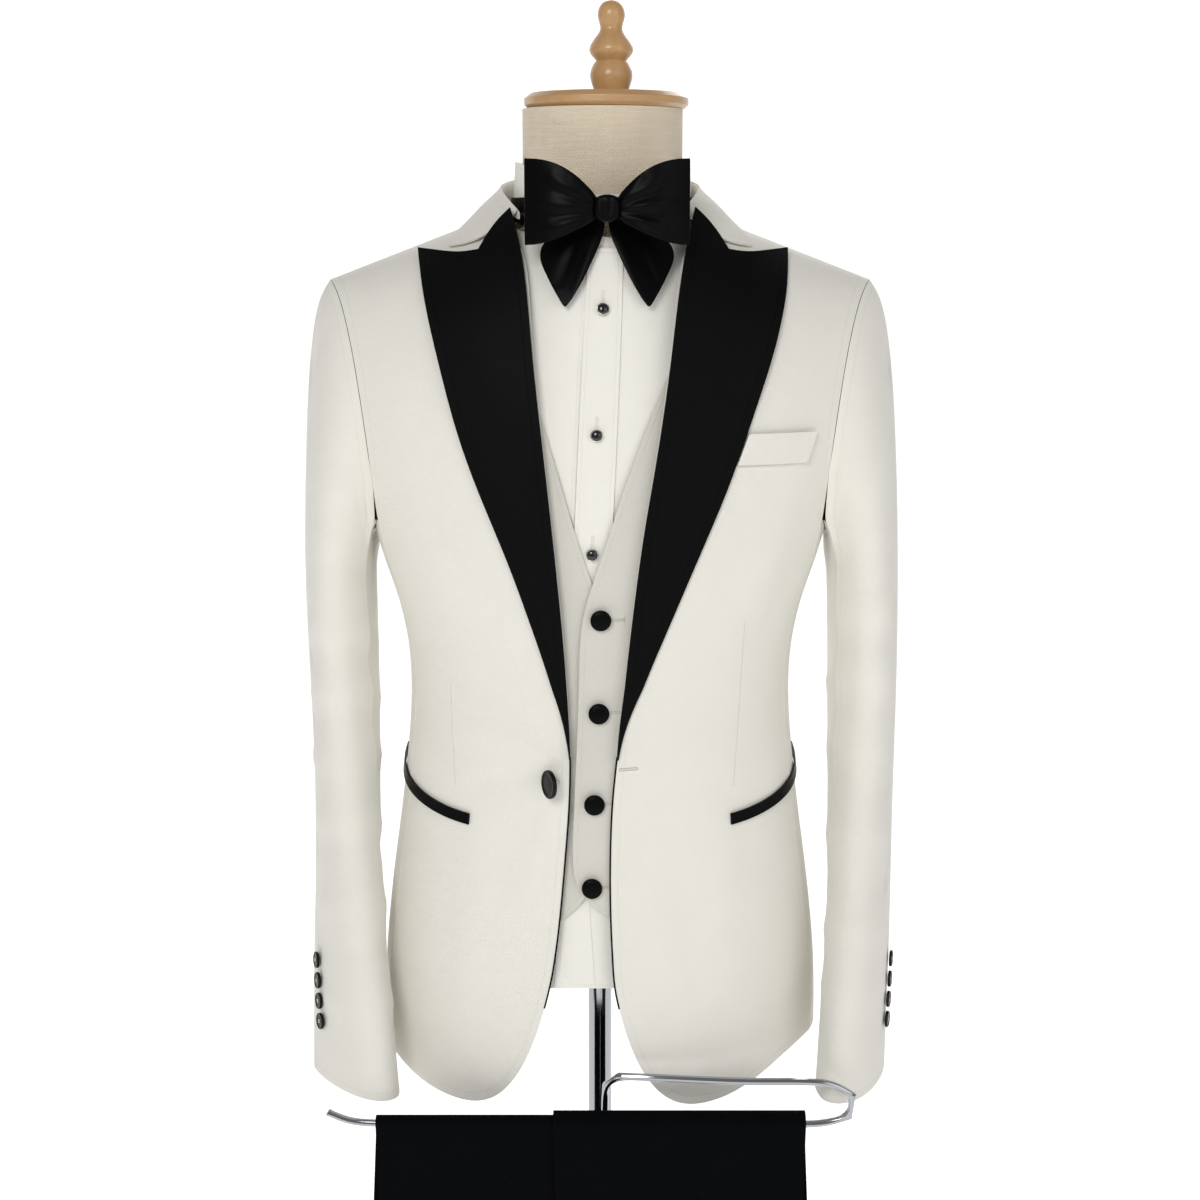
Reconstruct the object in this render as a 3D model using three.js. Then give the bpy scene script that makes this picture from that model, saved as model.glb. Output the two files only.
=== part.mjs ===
// A tuxedo on a limbless dress form: an ivory dinner jacket with black satin peak lapels, worn open over a
// waistcoat, a dress shirt and a bow tie, with the trousers hung over the stand's rail.
// Millimetres. The floor is at zero, the garment faces -Y, and the wearer's left is +X.

import * as THREE from "three";
import { mergeVertices } from "three/addons/utils/BufferGeometryUtils.js";

// Driving dimensions
const SEAM_GAP = 0.3;
const ARMPIT_HEIGHT = 1165;
const NECK_POINT = 84;
const NECK_POINT_HEIGHT = 1408;
const SHOULDER_SLOPE = 0.385;
const SECTION_SQUARENESS = 2.3;
const YOKE_ROUNDNESS = 2.2;
const ARMHOLE_SAG = 13;
const FRONT_SEAM_TURN = 72;
const BACK_SEAM_TURN = 108;
const JACKET_CLOTH = 2;
const WAISTCOAT_LIFT = -4.2;
const WAISTCOAT_CLOTH = 1.4;
const SHIRT_LIFT = -8.7;
const SHIRT_CLOTH = 1;
const FORM_LIFT = -10.8;
const NECK_X = 2;
const FORM_NECK_RADIUS = 65;
const FORM_BASE_HEIGHT = 790;
const CAP_HEIGHT = 1491;
const FINIAL_X = 9;
const POLE_RADIUS = 10.3;
const STAND_BASE_RADIUS = 160;
const RAIL_RADIUS = 3;
const RAIL_Y = -132;
const RAIL_HEIGHT = 688.4;
const TROUSER_CLOTH = 1.4;
const TROUSER_LAYER = 1.9;
const TROUSER_CENTRE = -7.6;

// The jacket's outer surface: half width, and depth before and behind the side. Above the armpit the half
// width is that of the whole oval which the armhole cuts short.
const TORSO = [
  { height: 680, halfWidth: 183, front: 106, back: 122 },
  { height: 740, halfWidth: 184, front: 109, back: 122 },
  { height: 795, halfWidth: 182.5, front: 112, back: 120 },
  { height: 868, halfWidth: 174.5, front: 113.5, back: 113 },
  { height: 916, halfWidth: 167.5, front: 114, back: 106 },
  { height: 975, halfWidth: 160.5, front: 114.5, back: 98 },
  { height: 1013, halfWidth: 157.5, front: 114.5, back: 95 },
  { height: 1050, halfWidth: 158, front: 115, back: 96 },
  { height: 1083, halfWidth: 163, front: 116.5, back: 100 },
  { height: 1110, halfWidth: 171, front: 118, back: 105 },
  { height: 1139, halfWidth: 182, front: 119, back: 110 },
  { height: 1165, halfWidth: 188, front: 119, back: 113 },
  { height: 1200, halfWidth: 199, front: 119, back: 115 },
  { height: 1250, halfWidth: 214, front: 119, back: 116 },
  { height: 1300, halfWidth: 224, front: 119, back: 116 },
  { height: 1360, halfWidth: 232, front: 119, back: 116 },
  { height: 1440, halfWidth: 236, front: 119, back: 116 },
];

// The neck that the chest and back run into
const NECK = [
  { height: 1165, radius: 40 },
  { height: 1300, radius: 76 },
  { height: 1350, radius: 83 },
  { height: 1390, radius: 81.5 },
  { height: 1415, radius: 80 },
  { height: 1460, radius: 80 },
];

// How far the armhole seam is from the middle, by the rise from the armpit to the shoulder line
const ARMHOLE = [
  { rise: 0, out: 180 },
  { rise: 14, out: 184 },
  { rise: 28, out: 190 },
  { rise: 45, out: 198 },
  { rise: 62, out: 207 },
  { rise: 78, out: 215 },
  { rise: 90, out: 219 },
];

// The inner edge of each jacket front: the cutaway edge up to the button, then the lapel's roll line
const FRONT_EDGE = [
  { height: 780, right: -43, left: 12 },
  { height: 812, right: -37, left: 10.5 },
  { height: 848, right: -32.4, left: 8.6 },
  { height: 900, right: -27.8, left: 8 },
  { height: 963, right: -23, left: 10.3 },
  { height: 990, right: -23.4, left: 14 },
  { height: 1067, right: -27.5, left: 21.6 },
  { height: 1156, right: -35.8, left: 32.4 },
  { height: 1232, right: -44.1, left: 45 },
  { height: 1294, right: -50.9, left: 53.8 },
  { height: 1357, right: -56, left: 61 },
  { height: 1383, right: -60, left: 66 },
  { height: 1407, right: -84, left: 86 },
];

// The rounded cutaway: how the hem falls and rises again with the distance from the front edge
const HEM_SWEEP = [
  { across: 0, height: 788 },
  { across: 5, height: 763 },
  { across: 12, height: 740 },
  { across: 23, height: 717 },
  { across: 36, height: 700 },
  { across: 50, height: 691 },
  { across: 66, height: 689 },
  { across: 85, height: 692 },
  { across: 105, height: 699 },
  { across: 125, height: 711 },
  { across: 145, height: 724 },
  { across: 165, height: 731 },
  { across: 200, height: 732 },
];

// The lapel's outer edge, up to the tip of its peak
const LAPEL_EDGE = [
  { height: 980, right: -27, left: 18 },
  { height: 1020, right: -32, left: 26 },
  { height: 1053, right: -41, left: 38 },
  { height: 1094, right: -54.5, left: 55 },
  { height: 1142, right: -71.5, left: 75 },
  { height: 1189, right: -91, left: 95 },
  { height: 1228, right: -105.9, left: 109.5 },
  { height: 1258, right: -115.1, left: 119.5 },
  { height: 1294, right: -124.3, left: 132 },
  { height: 1328, right: -132.9, left: 141 },
  { height: 1359, right: -139.8, left: 147 },
  { height: 1380, right: -143.5, left: 148 },
];

// The lapel's top edge: the gorge down to the notch, then along the peak
const LAPEL_TOP = [
  { across: 0, height: 1409 },
  { across: 0.14, height: 1400 },
  { across: 0.28, height: 1389 },
  { across: 0.42, height: 1377.5 },
  { across: 0.6, height: 1375 },
  { across: 0.8, height: 1376.5 },
  { across: 1, height: 1378 },
];

// The waistcoat's front edges: the left front laps over the right one
const WAISTCOAT_EDGE = [
  { height: 860, right: -9, left: -16 },
  { height: 880, right: -4, left: -22.4 },
  { height: 938, right: -2, left: -20.7 },
  { height: 1031, right: 2, left: -16.8 },
  { height: 1098, right: 4, left: -15.3 },
  { height: 1112, right: 2, left: -12.5 },
  { height: 1128, right: -8, left: -5 },
  { height: 1147, right: -15, left: 3 },
  { height: 1183, right: -25, left: 13.2 },
  { height: 1235, right: -41, left: 30.8 },
  { height: 1275, right: -52, left: 49 },
  { height: 1340, right: -72, left: 74 },
  { height: 1407, right: -98, left: 100 },
];

// The waistcoat's lower edge: two points in front, level at the sides
const WAISTCOAT_HEM = [
  { across: 0, height: 866 },
  { across: 12, height: 846 },
  { across: 30, height: 823 },
  { across: 60, height: 838 },
  { across: 120, height: 868 },
  { across: 200, height: 880 },
];

// Each sleeve below the biceps: where its middle hangs, the half sizes of its flattened oval, and how far the
// forearm turns inwards
const SLEEVE = [
  { height: 700, outRight: 202.5, outLeft: 208.5, middle: -66, long: 61, short: 24, turnRight: 35, turnLeft: 21 },
  { height: 760, outRight: 206, outLeft: 212, middle: -54, long: 62, short: 25, turnRight: 28, turnLeft: 18 },
  { height: 820, outRight: 209, outLeft: 215.5, middle: -38, long: 63, short: 26, turnRight: 20, turnLeft: 13 },
  { height: 880, outRight: 211, outLeft: 217.5, middle: -21, long: 64, short: 27, turnRight: 13, turnLeft: 9 },
  { height: 940, outRight: 212, outLeft: 218.5, middle: -8, long: 65, short: 27.5, turnRight: 7, turnLeft: 5 },
  { height: 1000, outRight: 212.5, outLeft: 219, middle: 0, long: 66, short: 28, turnRight: 2, turnLeft: 1 },
  { height: 1060, outRight: 214, outLeft: 219, middle: 2, long: 68, short: 28, turnRight: 0, turnLeft: 0 },
  { height: 1120, outRight: 215, outLeft: 217.5, middle: 3, long: 70, short: 28.5, turnRight: 0, turnLeft: 0 },
];

// A bow tie's wing, by the distance out from the knot
const BOW_WING = [
  { out: 0, top: 1421, bottom: 1404, depth: 5 },
  { out: 8, top: 1430, bottom: 1399, depth: 9 },
  { out: 19, top: 1440, bottom: 1394, depth: 12 },
  { out: 33, top: 1447, bottom: 1388, depth: 13 },
  { out: 47, top: 1450, bottom: 1384, depth: 10 },
  { out: 57, top: 1450, bottom: 1384, depth: 5 },
];

// A bow tie's tail, by the share of its length from the knot to its tip
const BOW_TAIL = [
  { along: 0, inner: 0.6, outer: 20, height: 1406.1 },
  { along: 0.2, inner: 2, outer: 46, height: 1393 },
  { along: 0.4, inner: 8, outer: 55, height: 1380 },
  { along: 0.6, inner: 14, outer: 50, height: 1367 },
  { along: 0.8, inner: 21, outer: 43, height: 1353 },
  { along: 1, inner: 29.5, outer: 35.5, height: 1341 },
];

// A trouser leg as it hangs over the rail, by the distance from the rail. Below zero is the lower leg in front.
const TROUSER_LEG = [
  { along: -520, outer: 163, inner: -21 },
  { along: -260, outer: 168, inner: -26 },
  { along: 0, outer: 172.5, inner: -30 },
  { along: 150, outer: 180, inner: -42 },
  { along: 290, outer: 189, inner: -49 },
  { along: 330, outer: 191, inner: -28 },
  { along: 352, outer: 192, inner: SEAM_GAP / 2 },
  { along: 420, outer: 193, inner: SEAM_GAP / 2 },
  { along: 515, outer: 193, inner: SEAM_GAP / 2 },
];
const TROUSER_SEAT_START = 352;
const TROUSER_SEAT_FLAT = 420;

// Smoothly reads one column of a table at a value of another column.
function lookUp(rows, by, at, column) {
  const last = rows.length - 1;
  const place = THREE.MathUtils.clamp(at, rows[0][by], rows[last][by]);
  let i = 0;
  while (i < last - 1 && rows[i + 1][by] < place) i += 1;
  const slope = (k) => {
    const before = rows[Math.max(k - 1, 0)];
    const after = rows[Math.min(k + 1, last)];
    return (after[column] - before[column]) / (after[by] - before[by]);
  };
  const span = rows[i + 1][by] - rows[i][by];
  const t = (place - rows[i][by]) / span;
  const start = rows[i][column] * (2 * t ** 3 - 3 * t ** 2 + 1);
  const end = rows[i + 1][column] * (3 * t ** 2 - 2 * t ** 3);
  const bends = span * (slope(i) * (t ** 3 - 2 * t ** 2 + t) + slope(i + 1) * (t ** 3 - t ** 2));
  return start + end + bends;
}

const degrees = THREE.MathUtils.degToRad;
const signedPower = (value, power) => Math.sign(value) * Math.abs(value) ** power;
const steps = (from, to, count) => {
  return Array.from({ length: count + 1 }, (_, i) => from + ((to - from) * i) / count);
};

// The torso surface below the armpit. The turn is 0 at the front, 90 on the wearer's left, 180 behind.
function torsoPoint(turn, height) {
  const angle = degrees(turn);
  const side = Math.cos(angle) > 0 ? "front" : "back";
  const halfWidth = lookUp(TORSO, "height", height, "halfWidth");
  const depth = lookUp(TORSO, "height", height, side);
  const x = halfWidth * signedPower(Math.sin(angle), 2 / SECTION_SQUARENESS);
  const y = -depth * signedPower(Math.cos(angle), 2 / SECTION_SQUARENESS);
  return new THREE.Vector3(x, y, height);
}

// The torso surface above the armpit, at a distance from the middle. The rise is 0 at the armpit in front,
// 90 on the shoulder line and 180 at the armpit behind.
function yokePoint(x, rise) {
  const angle = degrees(rise);
  const ridge = NECK_POINT_HEIGHT - SHOULDER_SLOPE * (Math.abs(x) - NECK_POINT);
  const share = Math.max(Math.sin(angle), 0) ** (2 / YOKE_ROUNDNESS);
  const height = ARMPIT_HEIGHT + (ridge - ARMPIT_HEIGHT) * share;
  const halfWidth = lookUp(TORSO, "height", height, "halfWidth");
  const depth = lookUp(TORSO, "height", height, rise < 90 ? "front" : "back");
  const across = Math.min(Math.abs(x) / halfWidth, 1);
  const section = depth * (1 - across ** SECTION_SQUARENESS) ** (1 / SECTION_SQUARENESS);
  const fall = section * signedPower(Math.cos(angle), 2 / YOKE_ROUNDNESS);
  const radius = lookUp(NECK, "height", height, "radius");
  const neck = Math.sqrt(Math.max(radius ** 2 - x ** 2, 0));
  const joined = (Math.abs(fall) ** 8 + neck ** 8) ** (1 / 8);
  return new THREE.Vector3(x, (rise < 90 ? -1 : 1) * (neck > 0 ? joined : Math.abs(fall)), height);
}

// A surface point with its outward normal, from a function of two parameters.
function withNormal(surface, a, b, stepA, stepB, away) {
  const alongA = surface(a + stepA, b).sub(surface(a - stepA, b));
  const alongB = surface(a, b + stepB).sub(surface(a, b - stepB));
  const point = surface(a, b);
  const normal = alongA.cross(alongB).normalize();
  if (normal.dot(away(point)) < 0) normal.negate();
  return { point, normal };
}

const fromMiddle = (point) => new THREE.Vector3(point.x, point.y * 1.5, (point.z - 1150) * 0.4);
const onTorso = (turn, height) => withNormal(torsoPoint, turn, height, 0.4, 0.5, fromMiddle);

function onYoke(x, rise) {
  const clear = THREE.MathUtils.clamp(rise, 0.6, 179.4);
  const spot = withNormal(yokePoint, x, clear, 0.4, 0.5, fromMiddle);
  spot.point = yokePoint(x, rise);
  if (Math.abs(rise - 90) < 0.01) {
    spot.point.y = 0;
    spot.normal.setY(0).normalize();
  }
  return spot;
}

// The torso turn at which the surface is a given distance from the middle.
function turnAt(x, height) {
  const share = Math.min(Math.abs(x) / lookUp(TORSO, "height", height, "halfWidth"), 1);
  return Math.sign(x) * THREE.MathUtils.radToDeg(Math.asin(share ** (SECTION_SQUARENESS / 2)));
}

// The rise at which the yoke reaches a height.
function riseAt(x, height) {
  const ridge = NECK_POINT_HEIGHT - SHOULDER_SLOPE * (Math.abs(x) - NECK_POINT);
  const share = THREE.MathUtils.clamp((height - ARMPIT_HEIGHT) / (ridge - ARMPIT_HEIGHT), 0, 1);
  return THREE.MathUtils.radToDeg(Math.asin(share ** (YOKE_ROUNDNESS / 2)));
}

// The front of the torso, seen from before it.
function onFront(x, height) {
  return height <= ARMPIT_HEIGHT ? onTorso(turnAt(x, height), height) : onYoke(x, riseAt(x, height));
}

const moved = (spot, lift) => spot.point.clone().addScaledVector(spot.normal, lift);

// A closed mesh from corner points and faces, turned to face outwards.
function meshOf(name, corners, faces, material) {
  const geometry = new THREE.BufferGeometry();
  geometry.setAttribute("position", new THREE.Float32BufferAttribute(corners.flatMap((p) => p.toArray()), 3));
  const volume = faces.reduce((sum, [a, b, c]) => {
    return sum + corners[a].dot(corners[b].clone().cross(corners[c]));
  }, 0);
  geometry.setIndex(faces.flatMap(([a, b, c]) => (volume > 0 ? [a, b, c] : [a, c, b])));
  geometry.computeVertexNormals();
  const mesh = new THREE.Mesh(geometry, material);
  mesh.name = name;
  return mesh;
}

// A cloth wall from a grid of spots: its face is lifted off the surface and its back lies a thickness below.
function wall(name, grid, lift, thickness, material, closed = false) {
  const rows = grid.length;
  const columns = grid[0].length;
  const liftOf = typeof lift === "function" ? lift : () => lift;
  const corners = [];
  for (const depth of [0, thickness]) {
    grid.forEach((row, r) => row.forEach((spot, c) => corners.push(moved(spot, liftOf(r, c) - depth))));
  }
  const index = (r, c, back) => back * rows * columns + r * columns + (c % columns);
  const faces = [];
  const quad = (a, b, c, d) => faces.push([a, b, c], [a, c, d]);
  const lastColumn = closed ? columns : columns - 1;
  for (let r = 0; r < rows - 1; r += 1) {
    for (let c = 0; c < lastColumn; c += 1) {
      quad(index(r, c, 0), index(r, c + 1, 0), index(r + 1, c + 1, 0), index(r + 1, c, 0));
      quad(index(r, c, 1), index(r + 1, c, 1), index(r + 1, c + 1, 1), index(r, c + 1, 1));
    }
  }
  for (let c = 0; c < lastColumn; c += 1) {
    quad(index(0, c, 0), index(0, c, 1), index(0, c + 1, 1), index(0, c + 1, 0));
    quad(index(rows - 1, c, 0), index(rows - 1, c + 1, 0), index(rows - 1, c + 1, 1), index(rows - 1, c, 1));
  }
  for (let r = 0; r < rows - 1 && !closed; r += 1) {
    quad(index(r, 0, 0), index(r + 1, 0, 0), index(r + 1, 0, 1), index(r, 0, 1));
    const last = columns - 1;
    quad(index(r, last, 0), index(r, last, 1), index(r + 1, last, 1), index(r + 1, last, 0));
  }
  return meshOf(name, corners, faces, material);
}

// A solid through closed rings of points, with a flat fan over each end.
function solidThrough(name, rings, material) {
  const count = rings[0].length;
  const corners = rings.flat();
  const faces = [];
  for (let r = 0; r < rings.length - 1; r += 1) {
    for (let c = 0; c < count; c += 1) {
      const next = (c + 1) % count;
      const [a, b, d, e] = [r * count + c, r * count + next, (r + 1) * count + next, (r + 1) * count + c];
      faces.push([a, b, d], [a, d, e]);
    }
  }
  for (const [r, reversed] of [[0, true], [rings.length - 1, false]]) {
    const middle = rings[r].reduce((sum, p) => sum.add(p), new THREE.Vector3()).divideScalar(count);
    corners.push(middle);
    for (let c = 0; c < count; c += 1) {
      const next = (c + 1) % count;
      const [a, b] = [r * count + c, r * count + next];
      faces.push(reversed ? [b, a, corners.length - 1] : [a, b, corners.length - 1]);
    }
  }
  return meshOf(name, corners, faces, material);
}

// A solid turned about the vertical, from radius and height pairs that start and end on the axis or close.
function turned(name, profile, segments, material, x = 0, y = 0) {
  const points = profile.map(([radius, height]) => new THREE.Vector2(radius, height));
  const lathe = new THREE.LatheGeometry(points, segments);
  lathe.deleteAttribute("normal");
  lathe.deleteAttribute("uv");
  const merged = mergeVertices(lathe, 1e-3);
  const place = merged.getAttribute("position");
  const corners = [];
  for (let i = 0; i < place.count; i += 1) {
    corners.push(new THREE.Vector3(place.getX(i) + x, -place.getZ(i) + y, place.getY(i)));
  }
  const faces = [];
  for (let i = 0; i < merged.index.count; i += 3) {
    const face = [merged.index.getX(i), merged.index.getX(i + 1), merged.index.getX(i + 2)];
    if (new Set(face).size === 3) faces.push(face);
  }
  return meshOf(name, corners, faces, material);
}

// A round button or stud: it sits on a spot, faces along its normal, and its face is domed.
function button(name, spot, lift, radius, thickness, material) {
  const segments = 10;
  const across = new THREE.Vector3(0, 0, 1).cross(spot.normal).normalize();
  const up = spot.normal.clone().cross(across);
  const rings = [[0.86, 0], [1, 0.35], [0.97, 0.7], [0.6, 1]].map(([width, share]) =>
    steps(0, 360, segments).slice(0, segments).map((angle) => moved(spot, lift + thickness * share)
      .addScaledVector(across, radius * width * Math.cos(degrees(angle)))
      .addScaledVector(up, radius * width * Math.sin(degrees(angle)))));
  return solidThrough(name, rings, material);
}

// Materials
const finish = (color, roughness, metalness = 0) => {
  return new THREE.MeshStandardMaterial({ color, roughness, metalness });
};
const ivoryWool = () => finish(0xe8e5db, 0.9);
const shirtCotton = () => finish(0xf2efe2, 0.85);
const blackSatin = () => finish(0x121213, 0.4);
const blackWool = () => finish(0x08090b, 0.9);
const linen = () => finish(0xcdc5b2, 0.95);
const beech = () => finish(0xc8a06e, 0.5);
const chrome = () => finish(0xc4c8cc, 0.12, 1);
const jet = () => finish(0x0c0c0e, 0.2);

const tuxedo = new THREE.Group();
const SIDES = [
  { name: "right", sign: -1 },
  { name: "left", sign: 1 },
];

// Rows of the jacket and waistcoat panels: shares of the way up to the armpit, then degrees of rise.
const SKIRT_SHARES = [0, 0.07, 0.15, 0.24, 0.33, 0.43, 0.53, 0.62, 0.71, 0.79, 0.87, 0.94, 1];
const YOKE_RISES = [14, 28, 42, 55, 66, 76, 84, 90];
const armholeOut = (rise) => lookUp(ARMHOLE, "rise", rise, "out");

// Half of a front or back panel above the armpit, from its inner edge to its armhole edge.
function yokeRows(sign, edgeAt, outAt, shares, rises, back) {
  return rises.map((rise) => shares.map((share) => {
    const out = outAt(rise);
    const edge = edgeAt(rise, out);
    const x = edge + (sign * out - edge) * share;
    const full = back ? 62 + 28 * THREE.MathUtils.smoothstep(Math.abs(x), 34, NECK_POINT) : 90;
    const bent = (rise * full) / 90;
    const spot = onYoke(x, back ? 180 - bent : bent);
    spot.point.y += (back ? 1 : -1) * (SEAM_GAP / 2);
    if (back && share === 0) spot.normal.setX(0).normalize();
    return spot;
  }));
}

// The x of an edge table where it crosses a given rise of the yoke.
function edgeOnYoke(table, side) {
  return (rise) => {
    let x = table[table.length - 1][side];
    for (let pass = 0; pass < 12; pass += 1) {
      x = (x + lookUp(table, "height", yokePoint(x, rise).z, side)) / 2;
    }
    return x;
  };
}

// The height of the armhole's bottom, which sags between the front and back panels.
function armholeBottom(turn) {
  const half = (BACK_SEAM_TURN - FRONT_SEAM_TURN) / 2;
  return ARMPIT_HEIGHT - ARMHOLE_SAG * (1 - ((Math.abs(turn) - 90) / half) ** 2);
}

// The jacket
const SIDE_HEM = 731;
const gapTurn = 0.1;
const frontShares = steps(0, 1, 9).map((share) => share ** 1.35);

function jacketFront({ name, sign }) {
  const start = lookUp(FRONT_EDGE, "height", 780, name);
  const seam = sign * (FRONT_SEAM_TURN - gapTurn);
  const lower = SKIRT_SHARES.map((up) => frontShares.map((share) => {
    const hemTurn = turnAt(start, 740) + (seam - turnAt(start, 740)) * share;
    const hemX = torsoPoint(hemTurn, 740).x;
    const hem = lookUp(HEM_SWEEP, "across", Math.abs(hemX - start), "height");
    const height = hem + (ARMPIT_HEIGHT - hem) * up;
    const edgeTurn = turnAt(lookUp(FRONT_EDGE, "height", height, name), height);
    return onTorso(edgeTurn + (seam - edgeTurn) * share, height);
  }));
  const upper = yokeRows(sign, edgeOnYoke(FRONT_EDGE, name), armholeOut, frontShares, YOKE_RISES, false);
  return wall(`jacket_front_${name}`, [...lower, ...upper], 0, JACKET_CLOTH, ivoryWool());
}

function jacketSide({ name, sign }) {
  const turns = steps(FRONT_SEAM_TURN + gapTurn, BACK_SEAM_TURN - gapTurn, 4);
  const rows = SKIRT_SHARES.map((up) => turns.map((turn) => {
    const top = armholeBottom(turn);
    return onTorso(sign * turn, SIDE_HEM + (top - SIDE_HEM) * up);
  }));
  return wall(`jacket_side_${name}`, rows, 0, JACKET_CLOTH, ivoryWool());
}

function jacketBack({ name, sign }) {
  const seam = BACK_SEAM_TURN + gapTurn;
  const shares = steps(0, 1, 6);
  const lower = SKIRT_SHARES.map((up) => shares.map((share) => {
    const height = SIDE_HEM + (ARMPIT_HEIGHT - SIDE_HEM) * up;
    const spot = onTorso(sign * (180 + (seam - 180) * share), height);
    if (share === 0) {
      spot.point.x = (sign * SEAM_GAP) / 2;
      spot.normal.setX(0).normalize();
    }
    return spot;
  }));
  const centre = () => (sign * SEAM_GAP) / 2;
  const upper = yokeRows(sign, centre, armholeOut, shares, YOKE_RISES, true);
  return wall(`jacket_back_${name}`, [...lower, ...upper], 0, JACKET_CLOTH, ivoryWool());
}

// The armhole seam as a closed loop: from the shoulder down the front, under the arm and up the back.
function armholeLoop(sign) {
  const front = [...YOKE_RISES].reverse().map((rise) => yokePoint(sign * armholeOut(rise), rise));
  const back = YOKE_RISES.slice(0, -1).map((rise) => yokePoint(sign * armholeOut(rise), 180 - rise));
  const turns = steps(FRONT_SEAM_TURN, BACK_SEAM_TURN, 4);
  const under = turns.map((turn) => torsoPoint(sign * turn, armholeBottom(turn)));
  front[0].y = 0;
  return [...front, ...under, ...back];
}

// A sleeve's ring below the biceps. The angle is 0 outside, 90 in front, 180 against the body, 270 behind.
function sleeveRing(side, sign, angle, height) {
  const column = side === "left" ? "Left" : "Right";
  const middle = new THREE.Vector3(
    sign * lookUp(SLEEVE, "height", height, `out${column}`),
    lookUp(SLEEVE, "height", height, "middle"),
    height,
  );
  const turn = degrees(lookUp(SLEEVE, "height", height, `turn${column}`));
  const outwards = new THREE.Vector3(sign * Math.cos(turn), -Math.sin(turn), 0);
  const forwards = new THREE.Vector3(-sign * Math.sin(turn), -Math.cos(turn), 0);
  const short = lookUp(SLEEVE, "height", height, "short");
  const long = lookUp(SLEEVE, "height", height, "long");
  return middle
    .addScaledVector(outwards, short * signedPower(Math.cos(degrees(angle)), 0.9))
    .addScaledVector(forwards, long * signedPower(Math.sin(degrees(angle)), 0.9));
}

const SLEEVE_TOP = 1120;
const SLEEVE_HEM = 700;
const CAP_STEPS = 5;
const ARM_STEPS = 7;

// The whole sleeve surface. The place is a count of loop corners, the way down is 0 at the armhole, 1 at the
// biceps and 2 at the hem.
function sleeveSurface({ name, sign }) {
  const loop = armholeLoop(sign);
  const lengths = [0];
  loop.forEach((p, i) => lengths.push(lengths[i] + p.distanceTo(loop[(i + 1) % loop.length])));
  const whole = lengths[loop.length];
  return (place, down) => {
    const round = ((place % loop.length) + loop.length) % loop.length;
    const i = Math.floor(round);
    const part = round - i;
    const start = loop[i].clone().lerp(loop[(i + 1) % loop.length], part);
    start.x += sign * 0.5;
    const angle = (360 * (lengths[i] + (lengths[i + 1] - lengths[i]) * part)) / whole;
    if (down > 1) return sleeveRing(name, sign, angle, SLEEVE_TOP + (SLEEVE_HEM - SLEEVE_TOP) * (down - 1));
    const end = sleeveRing(name, sign, angle, SLEEVE_TOP);
    const topness = (1 + Math.cos(degrees(angle))) / 2;
    const forward = Math.sin(degrees(angle));
    const leave = new THREE.Vector3(sign * (12 + 52 * topness), -6 * forward, 22 * topness - 12);
    const arrive = new THREE.Vector3(0, 0, -(start.z - SLEEVE_TOP));
    const t = Math.max(down, -0.02);
    return start.multiplyScalar(2 * t ** 3 - 3 * t ** 2 + 1)
      .addScaledVector(end, 3 * t ** 2 - 2 * t ** 3)
      .addScaledVector(leave, t ** 3 - 2 * t ** 2 + t)
      .addScaledVector(arrive, t ** 3 - t ** 2);
  };
}

const SLEEVE_FRONT_SEAM = 8;
const SLEEVE_BACK_SEAM = 16;

function sleeve(side) {
  const surface = sleeveSurface(side);
  const corners = armholeLoop(side.sign).length;
  const nudge = SEAM_GAP / 2 / 15;
  const downs = [...steps(0, 1, CAP_STEPS), ...steps(1, 2, ARM_STEPS).slice(1)];
  const pieces = [
    { piece: "under", from: SLEEVE_FRONT_SEAM, to: SLEEVE_BACK_SEAM },
    { piece: "upper", from: SLEEVE_BACK_SEAM, to: SLEEVE_FRONT_SEAM + corners },
  ];
  return pieces.map(({ piece, from, to }) => {
    const places = steps(from, to, to - from);
    places[0] += nudge;
    places[places.length - 1] -= nudge;
    const grid = downs.map((down) => {
      const height = SLEEVE_TOP + (SLEEVE_HEM - SLEEVE_TOP) * Math.max(down - 1, 0);
      const middle = sleeveRing(side.name, side.sign, 0, height)
        .add(sleeveRing(side.name, side.sign, 180, height))
        .divideScalar(2);
      const away = (point) => point.clone().sub(middle).setZ(down < 1 ? point.z - SLEEVE_TOP : 0);
      return places.map((place) => ({
        point: surface(place, down),
        normal: withNormal(surface, Math.round(place), down, 0.05, 0.01, away).normal,
      }));
    });
    return wall(`jacket_${piece}_sleeve_${side.name}`, grid, 0, JACKET_CLOTH, ivoryWool());
  });
}

const GORGE_HEIGHT = 1390;
const lapelShares = [0, 0.14, 0.28, 0.42, 0.6, 0.8, 1];

function lapel({ name }) {
  const foot = 984;
  const rows = steps(0, 1, 15).map((up) => lapelShares.map((share) => {
    const height = foot + (lookUp(LAPEL_TOP, "across", share, "height") - foot) * up;
    const roll = lookUp(FRONT_EDGE, "height", Math.min(height, 1392), name);
    const outer = lookUp(LAPEL_EDGE, "height", height, name);
    const spot = onFront(roll + (outer - roll) * share, Math.min(height, GORGE_HEIGHT));
    const upNeck = Math.max(height - GORGE_HEIGHT, 0);
    spot.point.add(new THREE.Vector3(0, 0.55 * upNeck, upNeck));
    return spot;
  }));
  const lift = (r, c) => 2.4 + 2.2 * (1 - lapelShares[c]) ** 2 + 2.7 * THREE.MathUtils.smoothstep(r, 10, 14);
  return wall(`jacket_lapel_${name}`, rows, lift, 1.5, blackSatin());
}

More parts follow.
